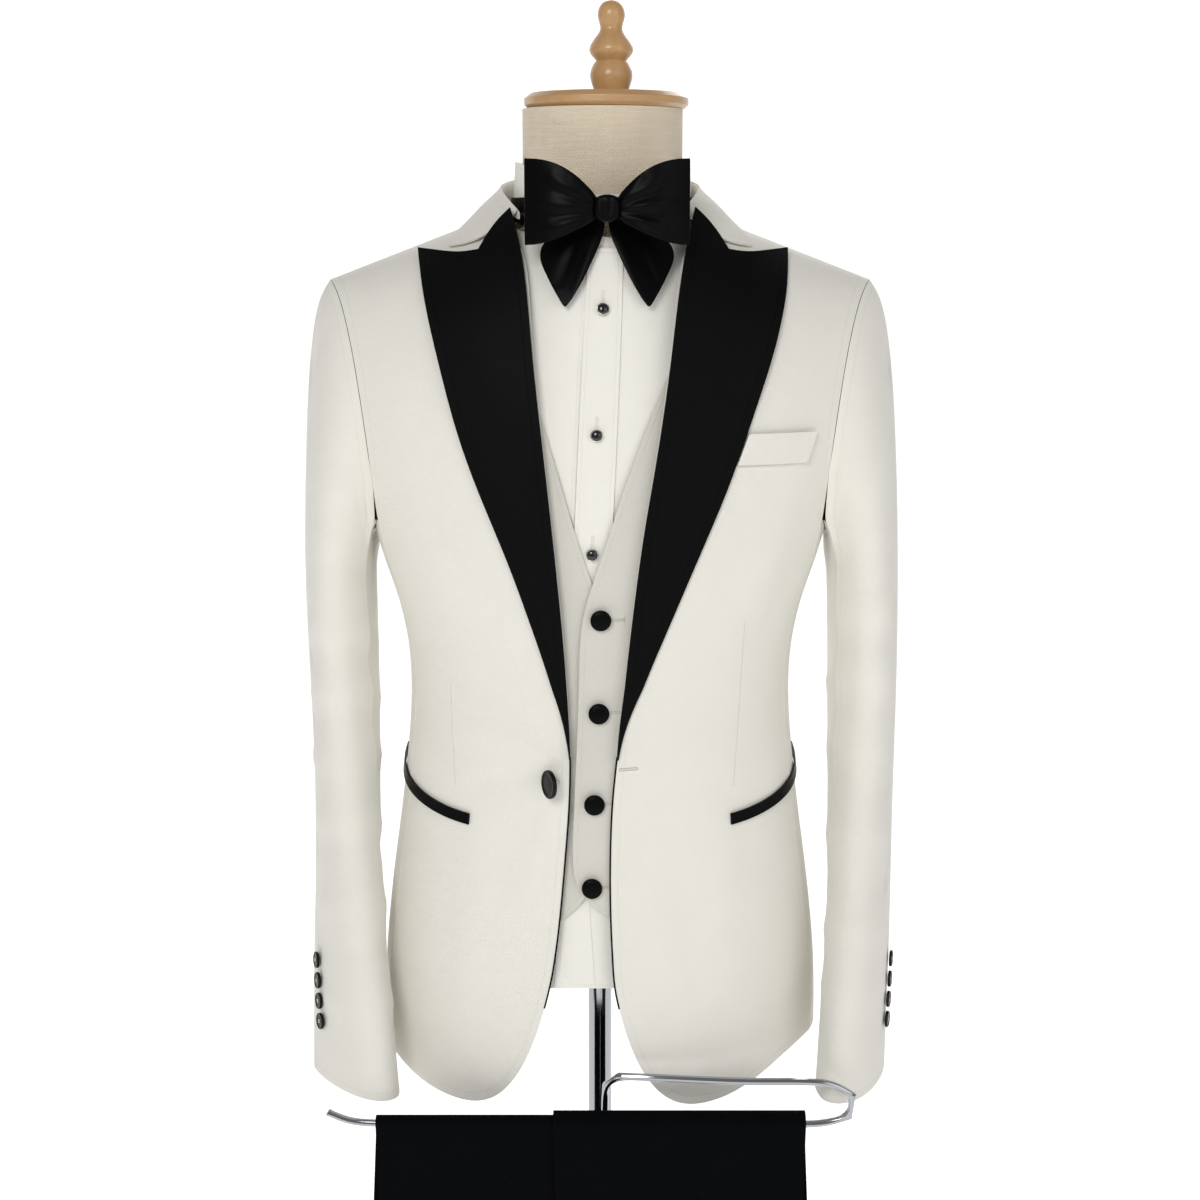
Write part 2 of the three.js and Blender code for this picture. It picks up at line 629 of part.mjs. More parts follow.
// The collar: a stand that rises from the neckline, and a leaf that turns over it and falls on the back and
// shoulders. Its course runs from 0 at one gorge, round the back, to 1 at the other.
const COLLAR_COURSE = [
  { course: 0, baseTurn: 54, baseRadius: 78.5, baseHeight: 1404, stand: 7, edgeOut: 119, edgeRise: 70 },
  { course: 0.12, baseTurn: 76, baseRadius: 78.5, baseHeight: 1411, stand: 14, edgeOut: 110, edgeRise: 84 },
  { course: 0.25, baseTurn: 104, baseRadius: 79, baseHeight: 1414, stand: 18, edgeOut: 99, edgeRise: 100 },
  { course: 0.37, baseTurn: 138, baseRadius: 79.5, baseHeight: 1416, stand: 22, edgeOut: 70, edgeRise: 118 },
  { course: 0.5, baseTurn: 180, baseRadius: 80, baseHeight: 1417, stand: 23, edgeOut: 0, edgeRise: 125 },
];
const GORGE_SHARE = 0.12;

function jacketCollar() {
  const grid = steps(0, 1, 18).map((along) => {
    const course = Math.min(along, 1 - along);
    const sign = along < 0.5 ? -1 : 1;
    const read = (column) => lookUp(COLLAR_COURSE, "course", course, column);
    const turn = degrees(read("baseTurn"));
    const outwards = new THREE.Vector3(sign * Math.sin(turn), -Math.cos(turn), 0);
    const level = (radius, height) => outwards.clone().multiplyScalar(radius).setZ(height);
    const base = read("baseRadius");
    const top = read("baseHeight") + read("stand");
    const edge = moved(onYoke(sign * Math.max(read("edgeOut"), 0), read("edgeRise")), 2.6);
    const shoulder = level(base + 4, top - 2.5);
    const middle = shoulder.clone().lerp(edge, 0.5).addScaledVector(outwards, 2);
    middle.z += 2;
    const notch = moved(onYoke(sign * 96, 66), 3);
    middle.lerp(notch, Math.max(1 - course / GORGE_SHARE, 0));
    const stand = [level(base - 0.5, read("baseHeight")), level(base - 1, top - 1.5)];
    return [...stand, level(base + 2, top + 1.2), shoulder, middle, edge];
  });
  const spots = grid.map((row, r) => row.map((point, c) => {
    const alongRow = row[Math.min(c + 1, row.length - 1)].clone().sub(row[Math.max(c - 1, 0)]);
    const before = grid[Math.max(r - 1, 0)][c];
    const alongCourse = grid[Math.min(r + 1, grid.length - 1)][c].clone().sub(before);
    return { point, normal: alongRow.cross(alongCourse).normalize() };
  }));
  const crest = spots[9][2].normal;
  if (crest.z < 0) spots.flat().forEach((spot) => spot.normal.negate());
  return wall("jacket_collar", spots, 0, 1.6, ivoryWool());
}

function breastWelt() {
  const rows = steps(0, 1, 2).map((up) => steps(0, 1, 6).map((across) => {
    const height = 1216 + 24 * up;
    return onFront(106 + 9 * up + (56 - up) * across, height);
  }));
  return wall("jacket_breast_welt", rows, 2.2, 1.6, ivoryWool());
}

function pocketJet({ name, sign }) {
  const rows = steps(0, 1, 2).map((up) => steps(0, 1, 10).map((across) => {
    const turn = 36 + (96 - 36) * across;
    return onTorso(sign * turn, 926 + 33 * across ** 1.25 + 9 * up);
  }));
  return wall(`jacket_pocket_jet_${name}`, rows, 2.4, 1.8, blackSatin());
}

function cuffButtons(side) {
  const surface = sleeveSurface(side);
  const corners = armholeLoop(side.sign).length;
  return [748, 764, 780, 796].map((height, i) => {
    const down = 1 + (SLEEVE_TOP - height) / (SLEEVE_TOP - SLEEVE_HEM);
    const away = (point) => new THREE.Vector3(point.x, 0, 0);
    const spot = withNormal(surface, corners - 1.1, down, 0.05, 0.01, away);
    return button(`cuff_button_${side.name}_${i + 1}`, spot, 0.4, 7, 4, blackSatin());
  });
}

for (const side of SIDES) {
  tuxedo.add(jacketFront(side), jacketSide(side), jacketBack(side), ...sleeve(side), lapel(side));
  tuxedo.add(pocketJet(side), ...cuffButtons(side));
}
tuxedo.add(jacketCollar(), breastWelt());

// The jacket's button has turned on its shank, so it stands nearly edge on to the front
const BUTTON_RADIUS = 11.5;
const hungButton = {
  point: onFront(-43, 966).point.add(new THREE.Vector3(5, -0.88 * BUTTON_RADIUS + 0.7, 0)),
  normal: new THREE.Vector3(-0.88, -0.47, 0).normalize(),
};
tuxedo.add(button("jacket_button", hungButton, 0, BUTTON_RADIUS, 4.5, blackSatin()));

// The waistcoat: the left front laps over the right by lying a little further out
const waistcoatOut = (rise) => 165 + (150 - 165) * (rise / 90);
const SHIRT_HEIGHTS = [790, 850, 910, 965, 1020, 1070, 1110, 1140];
const SHIRT_RISES = [6, 20, 36, 52, 66, 78, 90];
const BACK_EASE = 2.9;
const LAP = 2.2;
const LAP_FADE = [1, 0.75, 0.3];

function waistcoatFront({ name, sign }) {
  const shares = steps(0, 1, 7);
  const start = name === "left" ? -20 : 8;
  const seam = sign * (90 - gapTurn);
  const lower = [0, 0.12, 0.25, 0.4, 0.55, 0.7, 0.85, 1].map((up) => shares.map((share) => {
    const hemTurn = turnAt(start, 868) + (seam - turnAt(start, 868)) * share;
    const hemX = torsoPoint(hemTurn, 868).x;
    const hem = lookUp(WAISTCOAT_HEM, "across", Math.abs(hemX - start), "height");
    const height = hem + (1140 - hem) * up;
    const edgeTurn = turnAt(lookUp(WAISTCOAT_EDGE, "height", height, name), height);
    return onTorso(edgeTurn + (seam - edgeTurn) * share, height);
  }));
  const upper = yokeRows(sign, edgeOnYoke(WAISTCOAT_EDGE, name), waistcoatOut, shares, SHIRT_RISES, false);
  const lap = name === "left" ? LAP : -LAP / 5;
  const lift = (r, c) => WAISTCOAT_LIFT + (r < lower.length ? lap * (LAP_FADE[c] ?? 0) : 0);
  return wall(`waistcoat_front_${name}`, [...lower, ...upper], lift, WAISTCOAT_CLOTH, ivoryWool());
}

// Spots all across a back, up to the shoulder seams and the neck, shared by the layers under the jacket
function backGrid(heights) {
  const across = steps(1, -1, 12);
  const lower = heights.map((height) => across.map((share) => {
    return onTorso(180 - share * (90 - gapTurn), height);
  }));
  const upper = SHIRT_RISES.map((rise) => across.map((share) => {
    const x = share * waistcoatOut(rise);
    const full = 56 + 34 * THREE.MathUtils.smoothstep(Math.abs(x), 40, NECK_POINT + 10);
    const spot = onYoke(x, 180 - (rise * full) / 90);
    spot.point.y += SEAM_GAP / 2;
    return spot;
  }));
  return [...lower, ...upper];
}

function waistcoatBack() {
  const grid = backGrid([880, ...SHIRT_HEIGHTS.slice(2)]);
  return wall("waistcoat_back", grid, WAISTCOAT_LIFT - BACK_EASE, WAISTCOAT_CLOTH, ivoryWool());
}

tuxedo.add(...SIDES.map(waistcoatFront), waistcoatBack());
[{ x: 0.6, height: 1096 }, { x: -0.9, height: 1021 }, { x: -4.4, height: 947 }, { x: -6.4, height: 878 }]
  .forEach(({ x, height }, i) => {
    const lift = WAISTCOAT_LIFT + LAP + 0.35;
    tuxedo.add(button(`waistcoat_button_${i + 1}`, onFront(x, height), lift, 8.2, 4, blackSatin()));
  });

// The shirt: the placket is the left front's edge, which laps over the right front
const PLACKET_HALF = 15;
const placketCentre = (height) => 2.7 + 0.046 * (height - 1337);

// Spots of one shirt front, from the placket's edge to the side seam and up to the shoulder
function shirtFrontGrid({ name, sign }) {
  const shares = name === "left" ? steps(0, 1, 6) : steps(1, 0, 6);
  const edge = (height) => placketCentre(height) - PLACKET_HALF - (name === "left" ? 0 : SEAM_GAP);
  const lower = SHIRT_HEIGHTS.map((height) => shares.map((share) => {
    const seam = sign * (90 - gapTurn);
    const edgeTurn = turnAt(edge(height), height);
    return onTorso(edgeTurn + (seam - edgeTurn) * share, height);
  }));
  const upper = SHIRT_RISES.map((rise) => shares.map((share) => {
    const inner = edge(yokePoint(0, (rise * 56) / 90).z);
    const x = inner + (sign * waistcoatOut(rise) - inner) * share;
    const full = 56 + 34 * THREE.MathUtils.smoothstep(Math.abs(x), 40, NECK_POINT + 10);
    const spot = onYoke(x, (rise * full) / 90);
    spot.point.y -= SEAM_GAP / 2;
    return spot;
  }));
  return [...lower, ...upper];
}

const shirtFront = (side) => {
  return wall(`shirt_front_${side.name}`, shirtFrontGrid(side), SHIRT_LIFT, SHIRT_CLOTH, shirtCotton());
};
const shirtBack = () => {
  return wall("shirt_back", backGrid(SHIRT_HEIGHTS), SHIRT_LIFT - BACK_EASE, SHIRT_CLOTH, shirtCotton());
};

// A level band round the neck, as a closed tube of cloth.
function neckBand(name, levels, thickness, material) {
  const grid = levels.map(({ radius, height, dip = 0 }) => steps(0, 360, 28).slice(0, 28).map((turn) => {
    const normal = new THREE.Vector3(Math.sin(degrees(turn)), -Math.cos(degrees(turn)), 0);
    const sunk = dip * (1 - THREE.MathUtils.smoothstep(Math.min(turn, 360 - turn), 12, 74));
    const point = normal.clone().multiplyScalar(radius).add(new THREE.Vector3(NECK_X, 0, height - sunk));
    return { point, normal };
  }));
  return wall(name, grid, 0, thickness, material, true);
}

// The placket strip is stitched on the left front's edge, over the meeting line
function shirtPlacket() {
  const rows = steps(1010, 1384, 12).map((height) => steps(-1, 1, 2).map((across) => {
    return onFront(placketCentre(height) + PLACKET_HALF * across, height);
  }));
  return wall("shirt_placket", rows, SHIRT_LIFT + 1.4, 0.9, shirtCotton());
}

tuxedo.add(...SIDES.map(shirtFront), shirtBack(), shirtPlacket());
const collarLevels = [{ radius: 72.4, height: 1409 }, { radius: 71, height: 1449, dip: 26 }];
tuxedo.add(neckBand("shirt_collar", collarLevels, 1.4, shirtCotton()));
[{ x: 2.7, height: 1337 }, { x: -2.6, height: 1240 }, { x: -6, height: 1147 }].forEach(({ x, height }, i) => {
  tuxedo.add(button(`shirt_stud_${i + 1}`, onFront(x, height), SHIRT_LIFT + 1.4 + 0.35, 4.9, 3, jet()));
});

// The bow tie
const KNOT_X = 5.5;
const BOW_DEPTH = 96.5;
const bandLevels = [{ radius: 74.4, height: 1409 }, { radius: 74.2, height: 1421 }];
tuxedo.add(neckBand("bow_tie_band", bandLevels, 1.4, blackSatin()));

function bowWing({ name, sign }) {
  const grid = steps(0, 1, 12).map((round) => {
    const out = 57 * Math.sin(Math.PI * round);
    const read = (column) => lookUp(BOW_WING, "out", out, column);
    const x = KNOT_X + sign * (7 + out);
    return steps(0, 1, 4).map((up) => {
      const height = read("bottom") + (read("top") - read("bottom")) * up;
      const bowed = 0.9 + 0.1 * Math.sin(Math.PI * up);
      const depth = BOW_DEPTH + read("depth") * bowed * Math.cos(Math.PI * round);
      return new THREE.Vector3(x, -depth + 0.05 * out, height);
    });
  });
  const spots = grid.map((row, r) => row.map((point, c) => {
    const alongRow = row[Math.min(c + 1, row.length - 1)].clone().sub(row[Math.max(c - 1, 0)]);
    const before = grid[Math.max(r - 1, 0)][c];
    const round = grid[Math.min(r + 1, grid.length - 1)][c].clone().sub(before);
    return { point, normal: alongRow.cross(round).normalize().multiplyScalar(sign) };
  }));
  if (spots[2][2].normal.y > 0) spots.flat().forEach((spot) => spot.normal.negate());
  return wall(`bow_tie_wing_${name}`, spots, 0, 1.3, blackSatin());
}

function bowTail({ name, sign }) {
  const grid = steps(0, 1, 6).map((along) => {
    const read = (column) => lookUp(BOW_TAIL, "along", along, column);
    return steps(0, 1, 4).map((across) => {
      const out = read("inner") + (read("outer") - read("inner")) * across;
      return onFront(KNOT_X + sign * out, read("height") - 4 * Math.sin(Math.PI * across) * along);
    });
  });
  const lift = (r) => -2.6 + 3.4 * (r / 6);
  return wall(`bow_tie_tail_${name}`, grid, lift, 1.8, blackSatin());
}

// The knot grips the wings' roots in front of a narrow stem that comes forward from the band
const KNOT = [
  { half: 5.5, tall: 6, depth: 74.8 },
  { half: 5.5, tall: 6, depth: 102 },
  { half: 10, tall: 10.5, depth: 103 },
  { half: 10.5, tall: 11, depth: 107 },
  { half: 7.5, tall: 9, depth: 110 },
];

function bowKnot() {
  const rings = KNOT.map(({ half, tall, depth }) => steps(0, 360, 14).slice(0, 14).map((angle) => {
    const across = half * signedPower(Math.cos(degrees(angle)), 0.7);
    const up = tall * signedPower(Math.sin(degrees(angle)), 0.7);
    return new THREE.Vector3(KNOT_X + across, -depth, 1412 + up);
  }));
  return solidThrough("bow_tie_knot", rings, blackSatin());
}

tuxedo.add(...SIDES.map(bowWing), ...SIDES.map(bowTail), bowKnot());

// The trousers, hung over the rail at the knee, each leg a front and a back panel laid together
function trouserPanel({ name, sign }, piece, layer) {
  const distances = [...steps(-520, -8, 5), ...steps(0, 1, 4), ...steps(8, 352, 4), 380, 420, 515];
  const rod = new THREE.Vector3(0, RAIL_Y, RAIL_HEIGHT);
  const rows = distances.map((value, i) => {
    const overTop = i > 5 && i < 11;
    const arc = overTop ? value : 0;
    const distance = overTop ? 0 : value;
    const seatShare = THREE.MathUtils.smoothstep(distance, TROUSER_SEAT_START, TROUSER_SEAT_FLAT);
    const level = layer % 2 + (layer > 1 ? 2 * (1 - seatShare) : 0);
    const radius = RAIL_RADIUS + 0.4 + TROUSER_CLOTH + TROUSER_LAYER * level;
    const angle = overTop ? Math.PI * (0.03 + 0.94 * arc) : distance < 0 ? 0 : Math.PI;
    const normal = new THREE.Vector3(0, -Math.cos(angle), overTop ? Math.sin(angle) : 0);
    const drop = overTop ? 0 : Math.abs(distance) - 8;
    return steps(0, 1, 4).map((across) => {
      const inner = lookUp(TROUSER_LEG, "along", distance, "inner");
      const outer = lookUp(TROUSER_LEG, "along", distance, "outer");
      const x = TROUSER_CENTRE + sign * (inner + (outer - inner) * across);
      const point = rod.clone().addScaledVector(normal, radius).add(new THREE.Vector3(x, 0, -drop));
      return { point, normal };
    });
  });
  return wall(`trouser_${piece}_${name}`, rows, 0, TROUSER_CLOTH, blackWool());
}

function waistband() {
  const middle = RAIL_Y + RAIL_RADIUS + 0.4 + TROUSER_CLOTH + TROUSER_LAYER / 2 - TROUSER_CLOTH / 2;
  const top = RAIL_HEIGHT - (515 - 8) - SEAM_GAP;
  const outline = steps(0, 360, 20).slice(0, 20);
  const grid = [0, 38].map((drop) => outline.map((turn) => {
    const x = 194 * signedPower(Math.sin(degrees(turn)), 0.8);
    const y = 3.4 * signedPower(-Math.cos(degrees(turn)), 0.5);
    const normal = new THREE.Vector3(signedPower(Math.sin(degrees(turn)), 9), -Math.cos(degrees(turn)), 0);
    return { point: new THREE.Vector3(TROUSER_CENTRE + x, middle + y, top - drop), normal: normal.normalize() };
  }));
  return wall("trouser_waistband", grid, 0, 1.4, blackWool(), true);
}

tuxedo.add(trouserPanel(SIDES[0], "back", 0), trouserPanel(SIDES[0], "front", 1));
tuxedo.add(trouserPanel(SIDES[1], "back", 2), trouserPanel(SIDES[1], "front", 3));
tuxedo.add(waistband());

// The dress form: a smooth limbless torso just inside the shirt, run up into its neck
function dressForm() {
  const [right, left] = SIDES.map(shirtFrontGrid);
  const back = backGrid(SHIRT_HEIGHTS);
  const torso = back.map((backRow, r) => {
    const frontRow = [...right[r], ...left[r].slice(1)];
    const topEase = r === back.length - 1 ? 4 : 0;
    const seamEase = (c) => (c === 0 || c === frontRow.length - 1 ? BACK_EASE : 0);
    return [
      ...frontRow.map((spot, c) => moved(spot, FORM_LIFT - topEase - seamEase(c))),
      ...backRow.slice(1, -1).map((spot) => moved(spot, FORM_LIFT - topEase - BACK_EASE)),
    ];
  });
  torso[0].forEach((corner) => corner.setZ(FORM_BASE_HEIGHT));
  const frontTurns = steps(-90, 90, right[0].length + left[0].length - 2);
  const backTurns = steps(90, 270, back[0].length - 1).slice(1, -1);
  const neck = [{ radius: 63.5, height: 1399 }, { radius: FORM_NECK_RADIUS, height: 1425 },
    { radius: FORM_NECK_RADIUS, height: CAP_HEIGHT - SEAM_GAP }].map(({ radius, height }) => {
    return [...frontTurns, ...backTurns].map((turn) => new THREE.Vector3(
      NECK_X + radius * Math.sin(degrees(turn)),
      -radius * Math.cos(degrees(turn)),
      height,
    ));
  });
  return solidThrough("form_torso", [...torso, ...neck], linen());
}

tuxedo.add(dressForm());
tuxedo.add(turned("form_neck_cap", [[0, 0], [63, 0], [66.4, 3], [66.4, 8], [62, 12], [0, 13.5]]
  .map(([radius, up]) => [radius, CAP_HEIGHT + up]), 28, beech(), NECK_X + 3));
const FINIAL_PROFILE = [
  [0, 0], [14, 0], [15, 3], [17.5, 10], [17.5, 15], [15, 21], [12.5, 24], [14.5, 26], [18, 30], [18.2, 34],
  [15, 40], [9.5, 46], [8.5, 50], [11, 56], [11.5, 62], [8, 69], [0, 72],
];
tuxedo.add(turned("form_finial", FINIAL_PROFILE.map(([radius, up]) => [radius, CAP_HEIGHT + 13.5 + SEAM_GAP + up]),
  16, beech(), FINIAL_X));

// The stand
tuxedo.add(turned("stand_pole", [[0, 14.3], [POLE_RADIUS, 14.3], [POLE_RADIUS, FORM_BASE_HEIGHT - SEAM_GAP],
  [0, FORM_BASE_HEIGHT - SEAM_GAP]], 16, chrome()));
tuxedo.add(turned("stand_base", [[0, 0], [STAND_BASE_RADIUS, 0], [STAND_BASE_RADIUS, 4], [STAND_BASE_RADIUS - 4, 8],
  [40, 14], [0, 14]], 32, chrome()));
tuxedo.add(turned("rail_clamp", [[POLE_RADIUS + SEAM_GAP, 596], [24, 596], [24, 618], [POLE_RADIUS + SEAM_GAP, 618],
  [POLE_RADIUS + SEAM_GAP, 596]], 20, chrome()));

function trouserRail() {
  const armHeight = 607;
  const armReach = -113;
  const top = RAIL_HEIGHT + 33;
  const turnStart = 188;
  const bend = (top - RAIL_HEIGHT) / 2;
  const stops = [
    [4, -24.2, armHeight], [4, -50, armHeight], [4, armReach + 14, armHeight], [4, armReach + 4, armHeight + 4],
    [4, armReach, armHeight + 15], [4, armReach, 660], [4, armReach, 692], [4.5, armReach - 5, 712],
    [7, armReach - 11, top + 2], [16, armReach - 16, top + 5], [36, RAIL_Y + 1, top + 5], [110, RAIL_Y, top + 2],
    [turnStart, RAIL_Y, top], [turnStart + 0.72 * bend, RAIL_Y, RAIL_HEIGHT + 1.7 * bend],
    [turnStart + bend, RAIL_Y, RAIL_HEIGHT + bend], [turnStart + 0.72 * bend, RAIL_Y, RAIL_HEIGHT + 0.3 * bend],
    [turnStart, RAIL_Y, RAIL_HEIGHT], [100, RAIL_Y, RAIL_HEIGHT], [0, RAIL_Y, RAIL_HEIGHT],
    [-100, RAIL_Y, RAIL_HEIGHT], [-194, RAIL_Y, RAIL_HEIGHT], [-209, RAIL_Y, RAIL_HEIGHT + 2.5],
    [-219, RAIL_Y, RAIL_HEIGHT + 9],
  ].map(([x, y, z]) => new THREE.Vector3(x, y, z));
  const path = new THREE.CatmullRomCurve3(stops, false, "centripetal");
  const section = new THREE.Shape().absarc(0, 0, RAIL_RADIUS, 0, 2 * Math.PI);
  const geometry = new THREE.ExtrudeGeometry(section, { steps: 44, curveSegments: 4, extrudePath: path });
  const mesh = new THREE.Mesh(geometry, chrome());
  mesh.name = "trouser_rail";
  return mesh;
}

tuxedo.add(trouserRail());

export default tuxedo;
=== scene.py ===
import math

import bmesh
import bpy
from mathutils import Matrix, Vector, bvhtree, kdtree, noise


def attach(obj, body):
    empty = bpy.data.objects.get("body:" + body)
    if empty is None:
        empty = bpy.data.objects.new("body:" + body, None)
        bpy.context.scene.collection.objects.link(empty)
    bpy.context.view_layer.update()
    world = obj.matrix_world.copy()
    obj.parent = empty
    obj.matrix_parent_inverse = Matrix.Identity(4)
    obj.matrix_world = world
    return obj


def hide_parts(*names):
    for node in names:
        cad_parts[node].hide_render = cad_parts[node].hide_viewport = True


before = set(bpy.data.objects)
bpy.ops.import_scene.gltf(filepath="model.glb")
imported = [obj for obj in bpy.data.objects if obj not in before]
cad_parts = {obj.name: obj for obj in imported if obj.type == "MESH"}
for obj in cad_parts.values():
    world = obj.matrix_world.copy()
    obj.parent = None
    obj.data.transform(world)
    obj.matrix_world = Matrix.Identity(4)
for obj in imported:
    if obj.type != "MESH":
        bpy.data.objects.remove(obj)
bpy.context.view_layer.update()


# The studio: a pale floor that curves up into a white backdrop, a camera in front at chest height that looks
# slightly down, and three large soft lamps. None of it belongs to the object.
CAMERA_HEIGHT = 1.4
CAMERA_DISTANCE = 1.765
CAMERA_PITCH = 9.9
FLOOR_SIZE = (14, 8)
BACKDROP_HEIGHT = 6

scene = bpy.context.scene
scene.view_settings.view_transform = "Standard"
bpy.ops.object.select_all(action="DESELECT")
bpy.ops.object.camera_add(location=(0, -CAMERA_DISTANCE, CAMERA_HEIGHT),
                          rotation=(math.radians(90 - CAMERA_PITCH), 0, 0))
camera = bpy.context.object
camera.data.sensor_width = 36
camera.data.lens = 64.56
scene.camera = camera

bpy.ops.mesh.primitive_plane_add(size=1, location=(0, 0, 0))
floor = bpy.context.object
floor.name = "studio_floor"
bpy.ops.object.mode_set(mode="EDIT")
bpy.ops.transform.resize(value=(*FLOOR_SIZE, 1))
bpy.ops.mesh.select_all(action="DESELECT")
floor_mesh = bmesh.from_edit_mesh(floor.data)
for edge in floor_mesh.edges:
    edge.select_set(all(v.co.y > 0 for v in edge.verts))
bmesh.update_edit_mesh(floor.data)
bpy.ops.mesh.extrude_region_move(TRANSFORM_OT_translate={"value": (0, 0, BACKDROP_HEIGHT)})
bpy.ops.object.mode_set(mode="OBJECT")
curve = floor.modifiers.new("curve", "BEVEL")
curve.width = 1.5
curve.segments = 12
bpy.ops.object.modifier_apply(modifier="curve")
bpy.ops.object.shade_smooth()
backdrop = bpy.data.materials.new("backdrop")
backdrop.use_nodes = True
paper = backdrop.node_tree.nodes["Principled BSDF"]
paper.inputs["Base Color"].default_value = (0.9, 0.9, 0.9, 1)
paper.inputs["Roughness"].default_value = 1
paper.inputs["Emission Color"].default_value = (1, 1, 1, 1)
paper.inputs["Emission Strength"].default_value = 0.55
floor.data.materials.append(backdrop)

for name, place, turn, size, power in (
        ("key_lamp", (-0.9, -3.0, 2.6), (66, 0, -17), 1.3, 45),
        ("fill_lamp", (1.9, -2.5, 1.9), (75, 0, 37), 2.0, 16),
        ("back_lamp", (0.4, 2.4, 2.8), (-52, 0, 0), 2.0, 30)):
    bpy.ops.object.light_add(type="AREA", location=place, rotation=[math.radians(a) for a in turn])
    lamp = bpy.context.object
    lamp.name = name
    lamp.data.size = size
    lamp.data.energy = power
world = bpy.data.worlds.new("studio_air")
world.use_nodes = True
world.node_tree.nodes["Background"].inputs["Color"].default_value = (1, 1, 1, 1)
world.node_tree.nodes["Background"].inputs["Strength"].default_value = 0.26
scene.world = world


# The stand: a polished steel pole in a round weighted base, and a bent steel rod for trousers, whose clamp
# slides on the pole. Tube, disc and rod are turned or bent, welded and chrome plated.
def fine_copy(node, name, levels, sharp=50):
    """A copy of a CAD node, as quads, with its sharp edges kept and the rest rounded."""
    bpy.ops.object.select_all(action="DESELECT")
    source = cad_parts[node]
    source.select_set(True)
    bpy.context.view_layer.objects.active = source
    bpy.ops.object.duplicate()
    piece = bpy.context.object
    piece.name = name
    piece.data.materials.clear()
    bpy.ops.object.mode_set(mode="EDIT")
    bpy.ops.mesh.select_all(action="SELECT")
    bpy.ops.mesh.remove_doubles(threshold=0.00004)
    bpy.ops.mesh.tris_convert_to_quads(face_threshold=math.radians(50), shape_threshold=math.radians(60))
    bpy.ops.mesh.select_all(action="DESELECT")
    bpy.ops.mesh.select_mode(type="EDGE")
    bpy.ops.mesh.edges_select_sharp(sharpness=math.radians(sharp))
    bpy.ops.transform.edge_crease(value=1)
    bpy.ops.mesh.select_all(action="DESELECT")
    bpy.ops.mesh.select_mode(type="VERT")
    bpy.ops.object.mode_set(mode="OBJECT")
    rounding = piece.modifiers.new("rounding", "SUBSURF")
    rounding.levels = levels
    rounding.render_levels = levels
    bpy.ops.object.modifier_apply(modifier="rounding")
    bpy.ops.object.shade_smooth_by_angle(angle=math.radians(40))
    return piece


def show(piece, node, surface):
    """Puts a finish on a piece, and lets it stand for its CAD node."""
    piece.data.materials.clear()
    piece.data.materials.append(surface)
    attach(piece, "root")
    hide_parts(node)
    return piece


def node_group(name, ins, outs):
    """An empty shader group with number, colour and vector sockets."""
    group = bpy.data.node_groups.new(name, "ShaderNodeTree")
    for label, kind, value in ins:
        socket = group.interface.new_socket(name=label, in_out="INPUT", socket_type=kind)
        if value is not None:
            socket.default_value = value
    for label, kind in outs:
        group.interface.new_socket(name=label, in_out="OUTPUT", socket_type=kind)
    return group, group.nodes.new("NodeGroupInput"), group.nodes.new("NodeGroupOutput")


def maths(tree, operation, a, b=None, c=None):
    """A Math node whose sockets are filled with numbers or links."""
    node = tree.nodes.new("ShaderNodeMath")
    node.operation = operation
    for socket, value in zip(node.inputs, (a, b, c)):
        if isinstance(value, bpy.types.NodeSocket):
            tree.links.new(value, socket)
        elif value is not None:
            socket.default_value = value
    return node.outputs[0]


def texture(tree, kind, vector, scale, **sockets):
    """A texture node read at scaled coordinates, with its other sockets by name."""
    node = tree.nodes.new(kind)
    tree.links.new(vector, node.inputs["Vector"])
    node.inputs["Scale"].default_value = scale
    for label, value in sockets.items():
        node.inputs[label.replace("_", " ")].default_value = value
    return node


def blend_colours(tree, mask, first, second):
    """A colour mix; first and second are colours or links."""
    node = tree.nodes.new("ShaderNodeMix")
    node.data_type = "RGBA"
    tree.links.new(mask, node.inputs["Factor"])
    # Inputs 6 and 7 and output 2 are the node's colour sockets.
    for socket, value in ((node.inputs[6], first), (node.inputs[7], second)):
        if isinstance(value, bpy.types.NodeSocket):
            tree.links.new(value, socket)
        else:
            socket.default_value = (*value, 1)
    return node.outputs[2]


smudges, smudge_in, smudge_out = node_group(
    "handling_marks",
    [("Scale", "NodeSocketFloat", 20.0), ("Strength", "NodeSocketFloat", 0.1)],
    [("Roughness", "NodeSocketFloat")])
smudge_place = smudges.nodes.new("ShaderNodeTexCoord").outputs["Object"]
smudge_noise = texture(smudges, "ShaderNodeTexNoise", smudge_place, 20, Detail=6, Roughness=0.65)
smudges.links.new(smudge_in.outputs["Scale"], smudge_noise.inputs["Scale"])
smudges.links.new(maths(smudges, "MULTIPLY", smudge_noise.outputs["Fac"], smudge_in.outputs["Strength"]),
                  smudge_out.inputs["Roughness"])


def polished(name, colour, metallic, roughness, marks, coat=0.0, gloss=0.5):
    """A smooth hard finish whose gloss varies a little with handling."""
    surface = bpy.data.materials.new(name)
    surface.use_nodes = True
    tree = surface.node_tree
    shader = tree.nodes["Principled BSDF"]
    shader.inputs["Base Color"].default_value = (*colour, 1)
    shader.inputs["Metallic"].default_value = metallic
    shader.inputs["Coat Weight"].default_value = coat
    shader.inputs["Specular IOR Level"].default_value = gloss
    wear = tree.nodes.new("ShaderNodeGroup")
    wear.node_tree = smudges
    wear.inputs["Scale"].default_value = 24
    wear.inputs["Strength"].default_value = marks
    tree.links.new(maths(tree, "ADD", wear.outputs["Roughness"], roughness), shader.inputs["Roughness"])
    return surface


